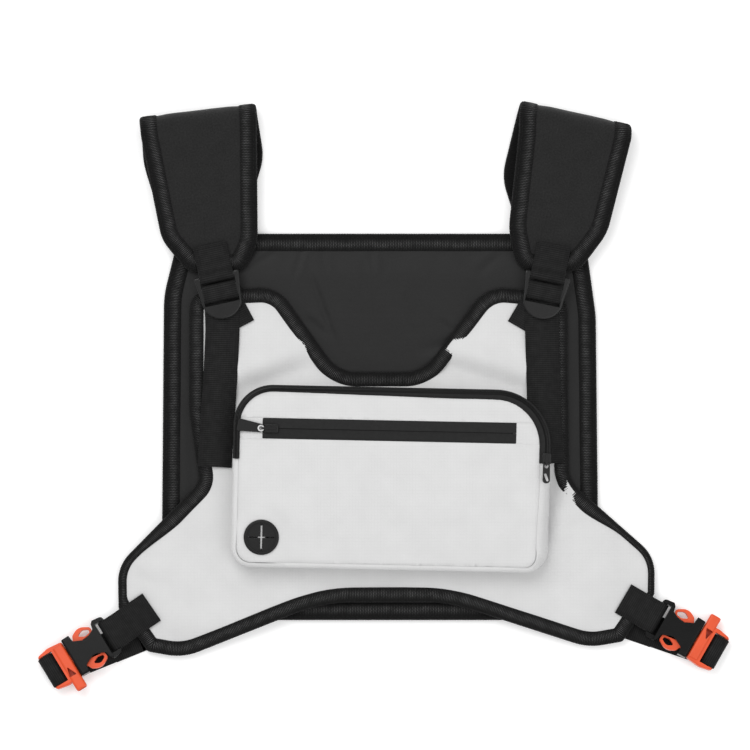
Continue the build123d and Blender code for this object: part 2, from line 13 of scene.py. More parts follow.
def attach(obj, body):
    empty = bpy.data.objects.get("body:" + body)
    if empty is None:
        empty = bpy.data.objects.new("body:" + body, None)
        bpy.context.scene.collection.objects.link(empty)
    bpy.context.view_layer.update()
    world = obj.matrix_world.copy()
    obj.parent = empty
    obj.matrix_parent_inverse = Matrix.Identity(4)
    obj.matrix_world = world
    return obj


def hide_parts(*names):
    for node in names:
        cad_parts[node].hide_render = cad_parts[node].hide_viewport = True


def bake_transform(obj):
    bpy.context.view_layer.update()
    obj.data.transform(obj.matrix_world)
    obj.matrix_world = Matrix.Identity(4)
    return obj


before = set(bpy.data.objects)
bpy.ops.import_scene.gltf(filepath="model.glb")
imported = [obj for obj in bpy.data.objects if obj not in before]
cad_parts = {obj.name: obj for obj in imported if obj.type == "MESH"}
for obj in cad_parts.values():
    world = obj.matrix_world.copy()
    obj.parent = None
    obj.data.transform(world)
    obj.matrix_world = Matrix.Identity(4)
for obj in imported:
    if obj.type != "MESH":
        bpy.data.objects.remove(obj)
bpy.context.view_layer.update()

MM = 0.001
UV = "weave"
SIMULATED_FRAMES = 20

# binding: how far each rib stands out, and how much of its width wraps the edge
TAPE_RIB = 0.13
WRAPPED_INSET = 3.0

# heights of the layers
BACK_MIDDLE = 3.8
FRONT_MIDDLE = 10.8
FRONT_TOP = 13.0
FACE_LEVEL = 36.0

# pocket frame
POCKET_CENTRE = np.array((8.0, -39.0))
POCKET_TURN = radians(-1.2)
MAIN_ZIP_END = 12.9

# webbing
WEB_THICK = 1.1
SHOULDER_WEB = 26.0
SIDE_WEB = 25.0
BAR_WRAP = 2.65
GROUND_STRAP = 0.85
SEWN_STRAP = 14.4

# shoulder pads: the middle of the fold and its turn
PAD_FOLDS = {
    "left": (np.array((-139.4, 241.4)), radians(6.8)),
    "right": (np.array((148.6, 239.6)), radians(-12.4)),
}
PAD_FOLD_RADIUS = 7.2
PAD_FOLD_OUTER = 10.7
PAD_FOLD_HEIGHT = 11.0
PAD_SLOPE = radians(3.2)
PAD_PARTING = 11.0
PAD_LEAN = 0.029

# ladder locks: top bar, turn, sewn end of the strap, end of its tail
LOCKS = {
    "left": ((-124.4, 113.8), radians(12.5), (-107.5, 75.2), (-126.8, -30.4)),
    "right": ((126.8, 113.6), radians(-11.5), (108.0, 73.9), (127.7, -22.0)),
}
LOCK_HEIGHT = 19.2
MIDDLE_BAR = -11.4
MIDDLE_BAR_FLAT = 3.6
TAIL_OVERHANG = 6.0

# buckles: mouth, heading, roll, end of the sewn patch, start of the side strap
BUCKLES = {
    "left": ((-234.8, -176.3), radians(211.5), radians(8.0), (-174.0, -136.8), (-128.0, -136.2)),
    "right": ((239.4, -162.3), radians(-30.0), radians(-8.0), (184.4, -130.4), (128.0, -128.0)),
}
BUCKLE_HEIGHT = 9.4
REAR_BAR = -33.6
OUTER_BAR = 19.6


# ---------- materials ----------


def grey(level):
    return (level, level, level)


class Shader:
    """A Principled material, put together from texture nodes on the weave UVs, which are in millimetres."""

    def __init__(self, name, colour, roughness, specular=0.3, **sockets):
        self.material = bpy.data.materials.new(name)
        self.material.use_nodes = True
        self.tree = self.material.node_tree
        self.shader = self.tree.nodes["Principled BSDF"]
        self.shader.inputs["Base Color"].default_value = (*colour, 1)
        self.shader.inputs["Roughness"].default_value = roughness
        self.shader.inputs["Specular IOR Level"].default_value = specular
        for socket, value in sockets.items():
            self.shader.inputs[socket.replace("_", " ")].default_value = value
        self.material.diffuse_color = (*colour, 1)

    def node(self, kind, *inputs, out=0, **settings):
        made = self.tree.nodes.new("ShaderNode" + kind)
        for key, value in settings.items():
            setattr(made, key, value)
        for i, value in enumerate(inputs):
            if isinstance(value, bpy.types.NodeSocket):
                self.tree.links.new(value, made.inputs[i])
            elif value is not None:
                made.inputs[i].default_value = value
        return made.outputs[out]

    def math(self, operation, a, b=0.0):
        return self.node("Math", a, b, operation=operation)

    def plus(self, a, b):
        return self.math("ADD", a, b)

    def times(self, a, b):
        return self.math("MULTIPLY", a, b)

    def weave_axes(self):
        """Distance along and across the fabric, in millimetres."""
        uv = self.node("UVMap", uv_map=UV)
        split = self.tree.nodes.new("ShaderNodeSeparateXYZ")
        self.tree.links.new(uv, split.inputs[0])
        return uv, split.outputs[0], split.outputs[1]

    def ridges(self, distance, pitch, sharpness=2.0):
        """Ridges from 0 to 1, one each pitch, narrower as sharpness grows."""
        wave = self.math("COSINE", self.math("MULTIPLY", distance, pi / pitch))
        return self.math("POWER", self.math("ABSOLUTE", wave), sharpness)

    def speckle(self, where, size, detail=3.0):
        """Noise from 0 to 1 with features of about that size, in the units of where."""
        return self.node("TexNoise", where, None, 1.0 / size, detail)

    def tint(self, factor, dark, light):
        """Base colour from dark to light by factor."""
        ramp = self.tree.nodes.new("ShaderNodeValToRGB")
        self.tree.links.new(factor, ramp.inputs[0])
        for element, colour in zip(ramp.color_ramp.elements, (dark, light)):
            element.color = (*colour, 1)
        self.tree.links.new(ramp.outputs[0], self.shader.inputs["Base Color"])

    def roughen(self, factor, low, high):
        made = self.node("MapRange", factor, 0.0, 1.0, low, high)
        self.tree.links.new(made, self.shader.inputs["Roughness"])

    def bump(self, height, depth):
        """Relief of that depth in millimetres for a height from 0 to 1."""
        made = self.tree.nodes.new("ShaderNodeBump")
        made.inputs["Distance"].default_value = depth * MM
        self.tree.links.new(height, made.inputs["Height"])
        self.tree.links.new(made.outputs[0], self.shader.inputs["Normal"])


def ripstop():
    """White coated nylon: a fine plain weave with a reinforcing thread each few millimetres."""
    s = Shader("white_ripstop", grey(0.70), 0.62, 0.25, Sheen_Weight=0.15)
    uv, u, v = s.weave_axes()
    threads = s.math("MAXIMUM", s.ridges(u, 2.4, 26), s.ridges(v, 2.4, 26))
    fine = s.times(s.ridges(u, 0.5), s.ridges(v, 0.5))
    cloudy = s.speckle(uv, 22.0, 4.0)
    grain = s.speckle(uv, 0.9, 2.0)
    height = s.plus(s.times(threads, 0.6), s.times(fine, 0.4))
    height = s.plus(height, s.times(grain, 0.5))
    shade = s.plus(s.times(cloudy, 0.7), s.times(grain, 0.3))
    shade = s.math("SUBTRACT", shade, s.times(threads, 0.12))
    s.tint(shade, grey(0.565), grey(0.675))
    s.roughen(grain, 0.55, 0.72)
    s.bump(height, 0.10)
    return s.material


def satin():
    """Black lining nylon with a soft sheen and fine crosswise threads."""
    s = Shader("black_satin", grey(0.012), 0.42, 0.17, Sheen_Weight=0.06)
    uv, u, v = s.weave_axes()
    fine = s.plus(s.ridges(u, 0.55), s.ridges(v, 0.9, 3))
    cloudy = s.speckle(uv, 30.0, 5.0)
    grain = s.speckle(uv, 1.6, 4.0)
    s.tint(s.plus(s.times(cloudy, 0.6), s.times(grain, 0.4)),
           grey(0.006), grey(0.016))
    s.roughen(cloudy, 0.34, 0.52)
    s.bump(s.plus(s.times(fine, 0.4), grain), 0.08)
    return s.material


def oxford():
    """Black brushed oxford: a coarse basket weave with stray lighter fibres."""
    s = Shader("black_oxford", grey(0.012), 0.85, 0.10, Sheen_Weight=0.15)
    uv, u, v = s.weave_axes()
    basket = s.times(s.ridges(u, 0.8), s.ridges(v, 0.8))
    fibre = s.speckle(uv, 1.3, 6.0)
    cloudy = s.speckle(uv, 14.0, 3.0)
    s.tint(s.plus(s.times(fibre, 0.75), s.times(cloudy, 0.25)),
           grey(0.002), grey(0.030))
    s.bump(s.plus(s.times(basket, 0.6), fibre), 0.22)
    return s.material


def grosgrain():
    """Black binding tape: ribs across it, with a painted highlight along its middle, the crown: light dots
    on the rib tops in a zigzag, patchy at random.
    """
    s = Shader("black_grosgrain", grey(0.010), 0.7, 0.10, Sheen_Weight=0.04)
    uv, along, across = s.weave_axes()
    rib = s.ridges(along, 1.25, 1.2)
    off_middle = s.math("SUBTRACT", across, 5.6)
    # painted highlight on the crown of the tape: light on the rib tops in a band along its middle
    middle = s.times(s.ridges(off_middle, 26.0, 16), s.ridges(along, 1.25, 4))
    zigzag = s.ridges(s.plus(across, s.times(along, 0.5)), 1.1, 3)
    patchy = s.speckle(uv, 6.0, 5.0)
    light = s.times(s.times(middle, zigzag), s.math("POWER", patchy, 1.5))
    s.tint(light, grey(0.006), grey(0.42))
    s.bump(s.plus(rib, s.times(zigzag, 0.25)), 0.6)
    return s.material


def webbing():
    """Black woven strap: weft ribs crossed by lengthwise warp lines, painted lighter on their raised crowns
    and darker between them as highlight and shade.
    """
    s = Shader("black_webbing", grey(0.008), 0.62, 0.11, Sheen_Weight=0.03)
    uv, along, across = s.weave_axes()
    ribs = s.ridges(along, 1.5, 1.4)
    lines = s.ridges(across, 2.1, 1.4)
    weave = s.plus(s.times(ribs, 0.85), s.times(lines, 0.15))
    patchy = s.speckle(uv, 5.0, 5.0)
    # painted highlight and shade: the colour follows the relief, lighter on the ribs and lines and darker
    # in the grooves, patchy at random
    s.tint(s.times(weave, patchy), grey(0.003), grey(0.026))
    s.bump(weave, 0.13)
    return s.material


def zip_fabric():
    """Black coated zip tape with a fine lengthwise twill."""
    s = Shader("zip_fabric", grey(0.012), 0.55, 0.14)
    uv, along, across = s.weave_axes()
    twill = s.ridges(s.plus(along, across), 0.7, 1.5)
    grain = s.speckle(uv, 3.0, 4.0)
    s.tint(grain, grey(0.009), grey(0.017))
    s.bump(s.plus(s.times(twill, 0.6), grain), 0.06)
    return s.material


def air_mesh():
    """Grey-black spacer mesh with rows of small holes, painted darker in the holes as shade inside them."""
    s = Shader("air_mesh", grey(0.02), 0.8, 0.2)
    uv, u, v = s.weave_axes()
    holes = s.times(s.ridges(u, 2.2), s.ridges(v, 2.2))
    patchy = s.speckle(uv, 4.0, 3.0)
    # painted shade: the holes are darker, and the mesh between them is patchy at random
    s.tint(s.times(s.math("SUBTRACT", 1.0, holes), patchy), grey(0.004), grey(0.035))
    s.bump(s.math("SUBTRACT", 1.0, holes), 0.7)
    return s.material


def moulded(name, colour, roughness, specular, grain_depth=0.03, grain_size=0.8, **sockets):
    """Injection-moulded plastic or rubber: a faint grain, slightly uneven gloss and colour."""
    s = Shader(name, colour, roughness, specular, **sockets)
    where = s.node("TexCoord", out=3)
    grain = s.speckle(where, grain_size * MM, 4.0)
    patch = s.speckle(where, 12.0 * MM, 3.0)
    dark = tuple(c * 0.88 for c in colour)
    light = tuple(min(1.0, c * 1.12) for c in colour)
    s.tint(patch, dark, light)
    s.roughen(patch, roughness * 0.85, roughness * 1.2)
    s.bump(grain, grain_depth)
    return s.material


def thread(name, colour):
    """Twisted sewing thread."""
    s = Shader(name, colour, 0.6, 0.12)
    where = s.node("TexCoord", out=3)
    twist = s.speckle(where, 0.3 * MM, 2.0)
    s.tint(twist, tuple(c * 0.7 for c in colour), tuple(c * 1.3 for c in colour))
    s.bump(twist, 0.05)
    return s.material


RIPSTOP = ripstop()
SATIN = satin()
OXFORD = oxford()
GROSGRAIN = grosgrain()
WEBBING = webbing()
ZIP_FABRIC = zip_fabric()
AIR_MESH = air_mesh()
BLACK_PLASTIC = moulded("black_plastic", grey(0.005), 0.20, 0.12)
LOCK_PLASTIC = moulded("lock_plastic", grey(0.009), 0.24, 0.27)
ORANGE_PLASTIC = moulded("orange_plastic", (0.70, 0.085, 0.026), 0.34, 0.26)
BLACK_METAL = moulded("black_metal", grey(0.008), 0.24, 0.26, grain_size=0.5)
RING_METAL = moulded("ring_metal", grey(0.62), 0.28, 0.5, Metallic=1.0)
BLACK_RUBBER = moulded("black_rubber", grey(0.008), 0.36, 0.20, grain_depth=0.05)
PULL_RUBBER = moulded("pull_rubber", grey(0.009), 0.4, 0.20, grain_depth=0.05)
BLACK_THREAD = thread("black_thread", grey(0.010))


# ---------- outlines from the frame ----------


def cad_loops(*nodes):
    """Closed outlines of the upper faces of CAD nodes, joined where the nodes meet, widest first."""
    edges = {}
    for node in nodes:
        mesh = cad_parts[node].data
        places = [tuple(round(c / MM, 2) for c in v.co[:2]) for v in mesh.vertices]
        for face in mesh.polygons:
            if face.normal.z > 0.9:
                ring = [places[i] for i in face.vertices]
                for a, b in zip(ring, ring[1:] + ring[:1]):
                    if edges.pop((b, a), None) is None:
                        edges[a, b] = True
    ahead = {a: b for a, b in edges}
    loops = []
    while ahead:
        start = next(iter(ahead))
        loop, here = [start], ahead.pop(start)
        while here != start and here in ahead:
            loop.append(here)
            here = ahead.pop(here)
        loops.append(np.array(loop))
    return sorted(loops, key=lambda loop: np.ptp(loop, axis=0).sum(), reverse=True)


def resampled(path, pitch, closed=True):
    """Points evenly spaced along a path, about a pitch apart."""
    path = np.asarray(path, float)
    if closed:
        path = np.vstack([path, path[:1]])
    along = np.concatenate([[0], np.cumsum(np.linalg.norm(np.diff(path, axis=0), axis=1))])
    count = max(2, round(along[-1] / pitch))
    at = np.linspace(0, along[-1], count + 1)
    if closed:
        at = at[:-1]
    return np.column_stack([np.interp(at, along, path[:, i]) for i in range(path.shape[1])])


def inside(points, loop):
    """Which points lie within a closed outline."""
    x, y = points[:, :1], points[:, 1:2]
    ax, ay = loop[:, 0], loop[:, 1]
    bx, by = np.roll(loop, -1, 0).T
    crosses = (ay > y) != (by > y)
    at = ax + (y - ay) * (bx - ax) / np.where(by == ay, 1e-9, by - ay)
    return (crosses & (x < at)).sum(1) % 2 == 1


def distance(points, loop):
    """The distance of each point from a closed outline, to about a third of a millimetre."""
    near = resampled(loop, 0.6)
    tree = kdtree.KDTree(len(near))
    for i, (x, y) in enumerate(near):
        tree.insert((x, y, 0), i)
    tree.balance()
    return np.array([tree.find((x, y, 0))[2] for x, y in points])


def smoothstep(x, low, high):
    t = np.clip((x - low) / (high - low), 0, 1)
    return t * t * (3 - 2 * t)


def noise_at(points, size, seed):
    """Smooth noise from about -1 to 1 at plan points."""
    return np.array([noise.noise(Vector((x / size, y / size, seed * 7.31))) for x, y in points[:, :2]])


def into(points, middle, turn):
    """Plan points in a frame with that middle and turn."""
    c, s = cos(-turn), sin(-turn)
    return (np.asarray(points, float) - middle) @ np.array([[c, s], [-s, c]])


def out_of(points, middle, turn):
    """Points of a frame with that middle and turn, in plan."""
    c, s = cos(turn), sin(turn)
    return np.asarray(points, float) @ np.array([[c, s], [-s, c]]) + middle


def pocket_axes(points):
    """Plan points in the pocket's own frame."""
    return into(points, POCKET_CENTRE, POCKET_TURN)


def from_pocket(points):
    """Points of the pocket's own frame in plan."""
    return out_of(points, POCKET_CENTRE, POCKET_TURN)


# ---------- meshes ----------


def flat(points, heights):
    """Plan points at one height, or at a height each."""
    return np.column_stack([points, np.broadcast_to(heights, len(points))])


def add_mesh(name, points, faces, material, corner_uvs=None, sharp=50):
    """A smooth-shaded mesh from points in millimetres; corner_uvs has a pair for each face corner."""
    mesh = bpy.data.meshes.new(name)
    mesh.from_pydata((np.asarray(points, float) * MM).tolist(), [], [list(map(int, f)) for f in faces])
    if corner_uvs is not None:
        layer = mesh.uv_layers.new(name=UV)
        layer.data.foreach_set("uv", np.asarray(corner_uvs, np.float32).ravel())
    mesh.materials.append(material)
    mesh.shade_smooth()
    mesh.set_sharp_from_angle(angle=radians(sharp))
    made = bpy.data.objects.new(name, mesh)
    bpy.context.scene.collection.objects.link(made)
    return made


def filled(loops, pitch):
    """Plan points and triangles that fill an outline; loops after the first are holes.
    The points of the loops come first, in order."""
    low, high = loops[0].min(0), loops[0].max(0)
    rows = np.arange(low[1], high[1], pitch * 0.866)
    columns = np.arange(low[0], high[0], pitch)
    grid = np.array([(x + (i % 2) * pitch / 2, y) for i, y in enumerate(rows) for x in columns])
    keep = inside(grid, loops[0])
    for loop in loops[1:]:
        keep &= ~inside(grid, loop)
    for loop in loops:
        keep &= distance(grid, loop) > pitch * 0.55
    points = np.vstack([*loops, grid[keep]])
    edges, first = [], 0
    for loop in loops:
        count = len(loop)
        edges += [(first + i, first + (i + 1) % count) for i in range(count)]
        first += count
    places, _, faces, origin, _, _ = geometry.delaunay_2d_cdt(
        [Vector(p) for p in points], edges, [], 0, 1e-5, True
    )
    same = {i: o[0] for i, o in enumerate(origin) if o}
    triangles = np.array([[same[i] for i in f] for f in faces if all(i in same for i in f)])
    centre = points[triangles].mean(1)
    keep = inside(centre, loops[0])
    for loop in loops[1:]:
        keep &= ~inside(centre, loop)
    return points, triangles[keep]


def slab(name, loops, pitch, top, bottom, material, place=flat, bulge=0.35):
    """A closed padded shape on a plan outline. top and bottom are its heights, or give them at plan
    points; place lays (plan, height) in the frame; the rim bulges by a share of its height."""
    loops = [wound(loop, inwards=i > 0) for i, loop in enumerate(loops)]
    plan, triangles = filled(loops, pitch)
    rim = sum(len(loop) for loop in loops)
    count = len(plan)
    upper, lower = (np.broadcast_to(h(plan) if callable(h) else h, count) for h in (top, bottom))
    ring_plan, ring_uv = [], []
    for i, loop in enumerate(loops):
        outward = outward_normals(loop) * (1 if i == 0 else -1)
        first = sum(len(x) for x in loops[:i])
        height = (upper - lower)[first : first + len(loop)]
        ring_plan.append(loop + outward * (height * bulge)[:, None])
        ring_uv.append(loop + outward * (height * 0.5)[:, None])
    middle = (upper + lower)[:rim] / 2
    every_plan = np.vstack([plan, np.vstack(ring_plan), plan])
    heights = np.concatenate([upper, middle, lower])
    uvs = np.vstack([plan, np.vstack(ring_uv), plan])
    faces = [tuple(t) for t in triangles]
    faces += [tuple(t[::-1] + count + rim) for t in triangles]
    first = 0
    for loop in loops:
        n = len(loop)
        for i in range(n):
            a, b = first + i, first + (i + 1) % n
            c, d = a + count, b + count
            e, f = a + count + rim, b + count + rim
            faces += [(b, a, c, d), (d, c, e, f)]
        first += n
    corners = np.concatenate([uvs[list(f)] for f in faces])
    return add_mesh(name, place(every_plan, heights), faces, material, corners, sharp=70)


def enclosed(loop):
    """Twice the area of a closed outline, positive if it runs anticlockwise."""
    x, y = loop.T
    return (x * np.roll(y, -1) - y * np.roll(x, -1)).sum()


def wound(loop, inwards=False):
    """A closed outline run anticlockwise, or clockwise for a hole."""
    return loop if (enclosed(loop) > 0) != inwards else loop[::-1]


def outward_normals(loop):
    """Unit normals of a closed outline that point out of it."""
    run = np.roll(loop, -1, 0) - np.roll(loop, 1, 0)
    normals = np.column_stack([run[:, 1], -run[:, 0]])
    normals /= np.maximum(np.linalg.norm(normals, axis=1), 1e-9)[:, None]
    return normals if enclosed(loop) > 0 else -normals


def grid_mesh(name, rows, material, closed=False, sharp=50):
    """A mesh through rings of points. They join end to end if closed, and are capped if not.
    Its UVs hold the distance along the run and round the rings."""
    rows = np.asarray(rows, float)
    n, m = rows.shape[:2]
    centre = rows.mean(1)
    step = np.linalg.norm(np.roll(centre, -1, 0) - centre, axis=1)
    along = np.concatenate([[0], np.cumsum(step)])
    across = np.linalg.norm(np.roll(rows[0], -1, 0) - rows[0], axis=1)
    across = np.concatenate([[0], np.cumsum(across)])
    faces, uvs = [], []
    for i in range(n if closed else n - 1):
        j = (i + 1) % n
        for k in range(m):
            l = (k + 1) % m
            faces.append((i * m + k, i * m + l, j * m + l, j * m + k))
            uvs += [(along[i], across[k]), (along[i], across[k + 1]),
                    (along[i + 1], across[k + 1]), (along[i + 1], across[k])]
    if not closed:
        faces += [tuple(range(m))[::-1], tuple((n - 1) * m + k for k in range(m))]
        uvs += [(along[0], across[k]) for k in reversed(range(m))]
        uvs += [(along[n - 1], across[k]) for k in range(m)]
    return add_mesh(name, rows.reshape(-1, 3), faces, material, uvs, sharp)


def inset_path(loop, inset):
    """A closed outline moved in by one distance, or one for each point; a tight corner becomes a mitre."""
    inset = np.broadcast_to(inset, len(loop))
    moved = loop - outward_normals(loop) * inset[:, None]
    bad = distance(moved, loop) < inset - 0.05
    good = np.flatnonzero(~bad)
    if bad.any() and len(good) > 2:
        n = len(loop)
        at = np.arange(n)
        wrapped = np.concatenate([good - n, good, good + n])
        source = np.vstack([moved[good]] * 3)
        moved = np.column_stack([np.interp(at, wrapped, source[:, i]) for i in (0, 1)])
    return moved


def stretch(rows, keep):
    """The rows of a closed run that are kept, in order along their one stretch, up to the first row of
    the next stretch."""
    start = next(i for i in range(len(keep)) if keep[i] and not keep[i - 1])
    return np.roll(rows, -start, 0)[: keep.sum() + 1]


def tape_round(name, loop, profile, place, keep=None, share=1.0):
    """Folded ribbed tape swept along an outline. profile lists (inset, height) from its upper inner edge
    round to its lower one; keep picks a stretch of the outline; share is how much of its width lies on
    each face, one number or one for each point of the outline."""
    rings = []
    for k, (inset, height) in enumerate(profile):
        path = inset_path(loop, inset * (share if inset > WRAPPED_INSET else 1.0))
        out = TAPE_RIB * np.where(np.arange(len(loop)) % 2 == 0, 1, -1)
        if 0 < k < len(profile) - 1:
            high = height + out * np.sign(height) * min(1.0, abs(height) / 2)
            path = path + outward_normals(loop) * (out * max(0.0, 1 - inset / 2))[:, None]
        else:
            high = np.full(len(loop), height)
        rings.append(place(path, high))
    rows = np.stack(rings, 1)
    if keep is None:
        return grid_mesh(name, rows, GROSGRAIN, closed=True)
    return grid_mesh(name, stretch(rows, keep), GROSGRAIN)


def ribbon(name, path, widthways, width):
    """Flat webbing along a path of points, with rounded edges. widthways is one direction, or several
    that are spread evenly along it."""
    path = resampled(path, 1.6, closed=False)
    widthways = np.asarray(widthways, float)
    if widthways.ndim == 1:
        widthways = np.tile(widthways, (len(path), 1))
    else:
        at = np.linspace(0, 1, len(path))
        given = np.linspace(0, 1, len(widthways))
        widthways = np.column_stack([np.interp(at, given, widthways[:, i]) for i in range(3)])
    ahead = np.gradient(path, axis=0)
    ahead /= np.linalg.norm(ahead, axis=1)[:, None]
    widthways = widthways - (widthways * ahead).sum(1)[:, None] * ahead
    widthways /= np.linalg.norm(widthways, axis=1)[:, None]
    up = np.cross(ahead, widthways)
    half, t = width / 2, WEB_THICK / 2
    shoulder = half - 0.35
    section = [(-shoulder, t), (-half * 0.5, t), (0, t), (half * 0.5, t), (shoulder, t), (half, 0),
               (shoulder, -t), (0, -t), (-shoulder, -t), (-half, 0)]
    rows = np.stack([path + widthways * a + up * b for a, b in section], 1)
    return grid_mesh(name, rows, WEBBING, sharp=80)


def stitches(name, path, length=2.6, gap=1.0, radius=0.28):
    """A row of stitches along a path of points, each a small rounded bar."""
    path = np.asarray(path, float)
    steps = np.linalg.norm(np.diff(path, axis=0), axis=1)
    along = np.concatenate([[0], np.cumsum(steps)])
    starts = np.arange(gap, along[-1] - length, length + gap)
    points, faces = [], []
    shape = [(0.0, 0.25), (0.18, 0.85), (0.5, 1.0), (0.82, 0.85), (1.0, 0.25)]
    for start in starts:
        spine = [np.array([np.interp(start + length * share, along, path[:, i]) for i in range(3)])
                 for share, _ in shape]
        ahead = spine[-1] - spine[0]
        ahead /= max(np.linalg.norm(ahead), 1e-9)
        side = np.cross((0.0, 0.0, 1.0), ahead)
        side /= max(np.linalg.norm(side), 1e-9)
        up = np.cross(ahead, side)
        base = len(points)
        for centre, (_, size) in zip(spine, shape):
            for k in range(6):
                turn = 2 * pi * k / 6
                points.append(centre + radius * size * (side * cos(turn) + up * sin(turn)))
        for low in range(base, base + 24, 6):
            faces += [(low + k, low + (k + 1) % 6, low + 6 + (k + 1) % 6, low + 6 + k) for k in range(6)]
        faces += [tuple(base + k for k in reversed(range(6))), tuple(base + 24 + k for k in range(6))]
    return add_mesh(name, points, faces, BLACK_THREAD)


def seam(name, loop, inset, level, place=flat):
    """Binding stitches a distance inside an outline, at a level or a level worked out from the path."""
    path = resampled(inset_path(loop, inset), 2.0)
    return finished(stitches(name, place(path, level(path) if callable(level) else level)), "grosgrain")


def inflate(piece, outline, margin, limit, pressure=4.0):
    """Lets the cover of a padded piece swell by cloth simulation. Its vertices are held at the outline
    and let go over the margin inside it, and none moves further than limit."""
    mesh = piece.data
    corner = np.empty(len(mesh.loops), int)
    mesh.loops.foreach_get("vertex_index", corner)
    uvs = np.empty(len(mesh.loops) * 2, np.float32)
    mesh.uv_layers[UV].data.foreach_get("uv", uvs)
    plan = np.empty((len(mesh.vertices), 2))
    plan[corner] = uvs.reshape(-1, 2)
    group = piece.vertex_groups.new(name="held")
    for i, free in enumerate(smoothstep(distance(plan, outline), *margin)):
        group.add([i], float(1 - 0.7 * free), "REPLACE")
    cloth = piece.modifiers.new("cloth", "CLOTH")
    settings = cloth.settings
    settings.vertex_group_mass = "held"
    settings.use_pressure = True
    settings.uniform_pressure_force = pressure
    settings.effector_weights.gravity = 0
    settings.quality = 5
    cloth.collision_settings.use_collision = False
    scene = bpy.context.scene
    for f in range(1, SIMULATED_FRAMES + 1):
        scene.frame_set(f)
    before = np.array([v.co for v in mesh.vertices])
    evaluated = piece.evaluated_get(bpy.context.evaluated_depsgraph_get())
    after = np.array([v.co for v in evaluated.data.vertices])
    piece.modifiers.remove(cloth)
    piece.vertex_groups.remove(group)
    scene.frame_set(1)
    move = after - before
    far = np.linalg.norm(move, axis=1)
    move *= np.minimum(1, limit * MM / np.maximum(far, 1e-9))[:, None]
    mesh.vertices.foreach_set("co", (before + move).astype(np.float32).ravel())
    mesh.update()


def crease(points, start, end, width, depth):
    """The lowering of points near a fold from start to end, deepest midway, with a raised lip beside it."""
    start, end = np.array(start, float), np.array(end, float)
    run = end - start
    share = ((points - start) @ run) / (run @ run)
    side = ((points - start) @ np.array((-run[1], run[0]))) / np.linalg.norm(run)
    fade = smoothstep(share, -0.15, 0.25) * (1 - smoothstep(share, 0.75, 1.15))
    lip = np.exp(-(((side - 2 * width) / (1.4 * width)) ** 2))
    return fade * depth * (np.exp(-((side / width) ** 2)) - 0.6 * lip)


def creased(height, points, creases):
    """Heights lowered by each crease of a list of (start, end, width, depth)."""
    for each in creases:
        height = height - crease(points, *each)
    return height


def finished(piece, slot, *nodes):
    """Hides the CAD nodes that the piece stands for and returns the piece. The slot is not used."""
    if nodes:
        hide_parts(*nodes)
    return piece


def riding(body, piece, slot, *nodes):
    """Finishes a piece and fixes it to a body."""
    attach(finished(piece, slot, *nodes), body)


# ---------- back panel ----------

back_outline = resampled(cad_loops("back_binding")[0], 0.625)
back_coarse = resampled(back_outline, 3.4)

BACK_CREASES = [
    ((-53, 117), (-34, 64), 1.6, 1.1),
    ((-59, 136), (-65, 114), 1.5, 0.9),
    ((-45, 134), (-40, 118), 1.6, 0.5),
    ((-7, 135), (-5, 116), 1.6, 0.6),
    ((-13, 126), (-11, 100), 2.4, 0.5),
    ((60, 66), (30, 58), 4.0, 0.8),
    ((44, 82), (54, 74), 1.4, 0.5),
    ((-98, 122), (-80, 133), 2.0, 0.7),
    ((-58, 84), (-40, 70), 2.4, 0.6),
    ((76, 118), (92, 132), 3.0, 0.6),
    ((-150, 20), (-146, -70), 2.5, 0.5),
    ((152, 90), (148, 10), 3.0, 0.6),
]
BACK_LINING_TOP = 1.0
BACK_TOP_LIMIT = 8.6


def back_top(points):
    """Height of the back cover: a shallow crown with creases and soft waves in the lining cloth."""
    depth = distance(points, back_coarse)
    height = 5.9 + 1.9 * smoothstep(depth, 6, 34)
    height += 0.30 * noise_at(points * (1, 0.45), 20, 1) + 0.16 * noise_at(points * (1, 0.6), 8, 2)
    return np.minimum(creased(height, points, BACK_CREASES), BACK_TOP_LIMIT)


def back_panel():
    inner = inset_path(back_coarse, 4.0)
    cover = slab("back_cover", [inner], 2.6, back_top, BACK_LINING_TOP, SATIN)
    inflate(cover, inner, (8, 16), 0.7, pressure=1.5)
    riding("back", cover, "black_nylon", "back_shell", "back_foam")
    lining = slab("back_mesh_lining", [inner], 6.0, BACK_LINING_TOP, 0.05, AIR_MESH)
    riding("back", lining, "air_mesh", "back_lining")

    profile = [(13.0, 2.6), (12.2, 3.5), (8.0, 3.7), (3.0, 3.6), (0.9, 3.2), (-0.1, 1.6), (-0.3, 0.0),
               (-0.1, -1.6), (0.9, -3.3), (3.0, -3.75), (12.2, -3.75), (13.0, -2.8)]
    tape = tape_round("back_binding_tape", back_outline, profile, lambda p, h: flat(p, BACK_MIDDLE + h))
    riding("back", tape, "grosgrain", "back_binding")
    for row, inset in (("outer", 2.6), ("inner", 10.9)):
        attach(seam(f"back_stitches_{row}", back_outline, inset, BACK_MIDDLE + 3.72), "back")


# ---------- front panel ----------

FRONT_BINDINGS = ("neck_binding", "hem_binding", "side_binding_left", "side_binding_right")
front_outline = resampled(cad_loops(*FRONT_BINDINGS)[0], 0.625)
front_coarse = resampled(front_outline, 3.0)
pocket_outline = resampled(cad_loops("pocket_gusset")[0], 1.0)
pocket_coarse = resampled(pocket_outline, 3.0)

FRONT_FOLDS = [
    ((-112, 26), (-50, 47), 7.5, 4.2),
    ((42, 48), (114, 27), 7.5, 4.6),
    ((131, -30), (124, -92), 7.0, 2.6),
    ((-150, -75), (-122, -128), 9.0, 1.3),
    ((150, -72), (128, -126), 8.0, 1.2),
    ((-60, -118), (20, -121), 7.0, 1.0),
    ((-190, -112), (-160, -122), 5.0, 0.8),
]


def drape(points):
    """How far the front panel drops where it reaches past the back panel."""
    out = np.where(inside(points, back_coarse), 0.0, distance(points, back_coarse))
    return 4.4 * smoothstep(out, 0, 26)


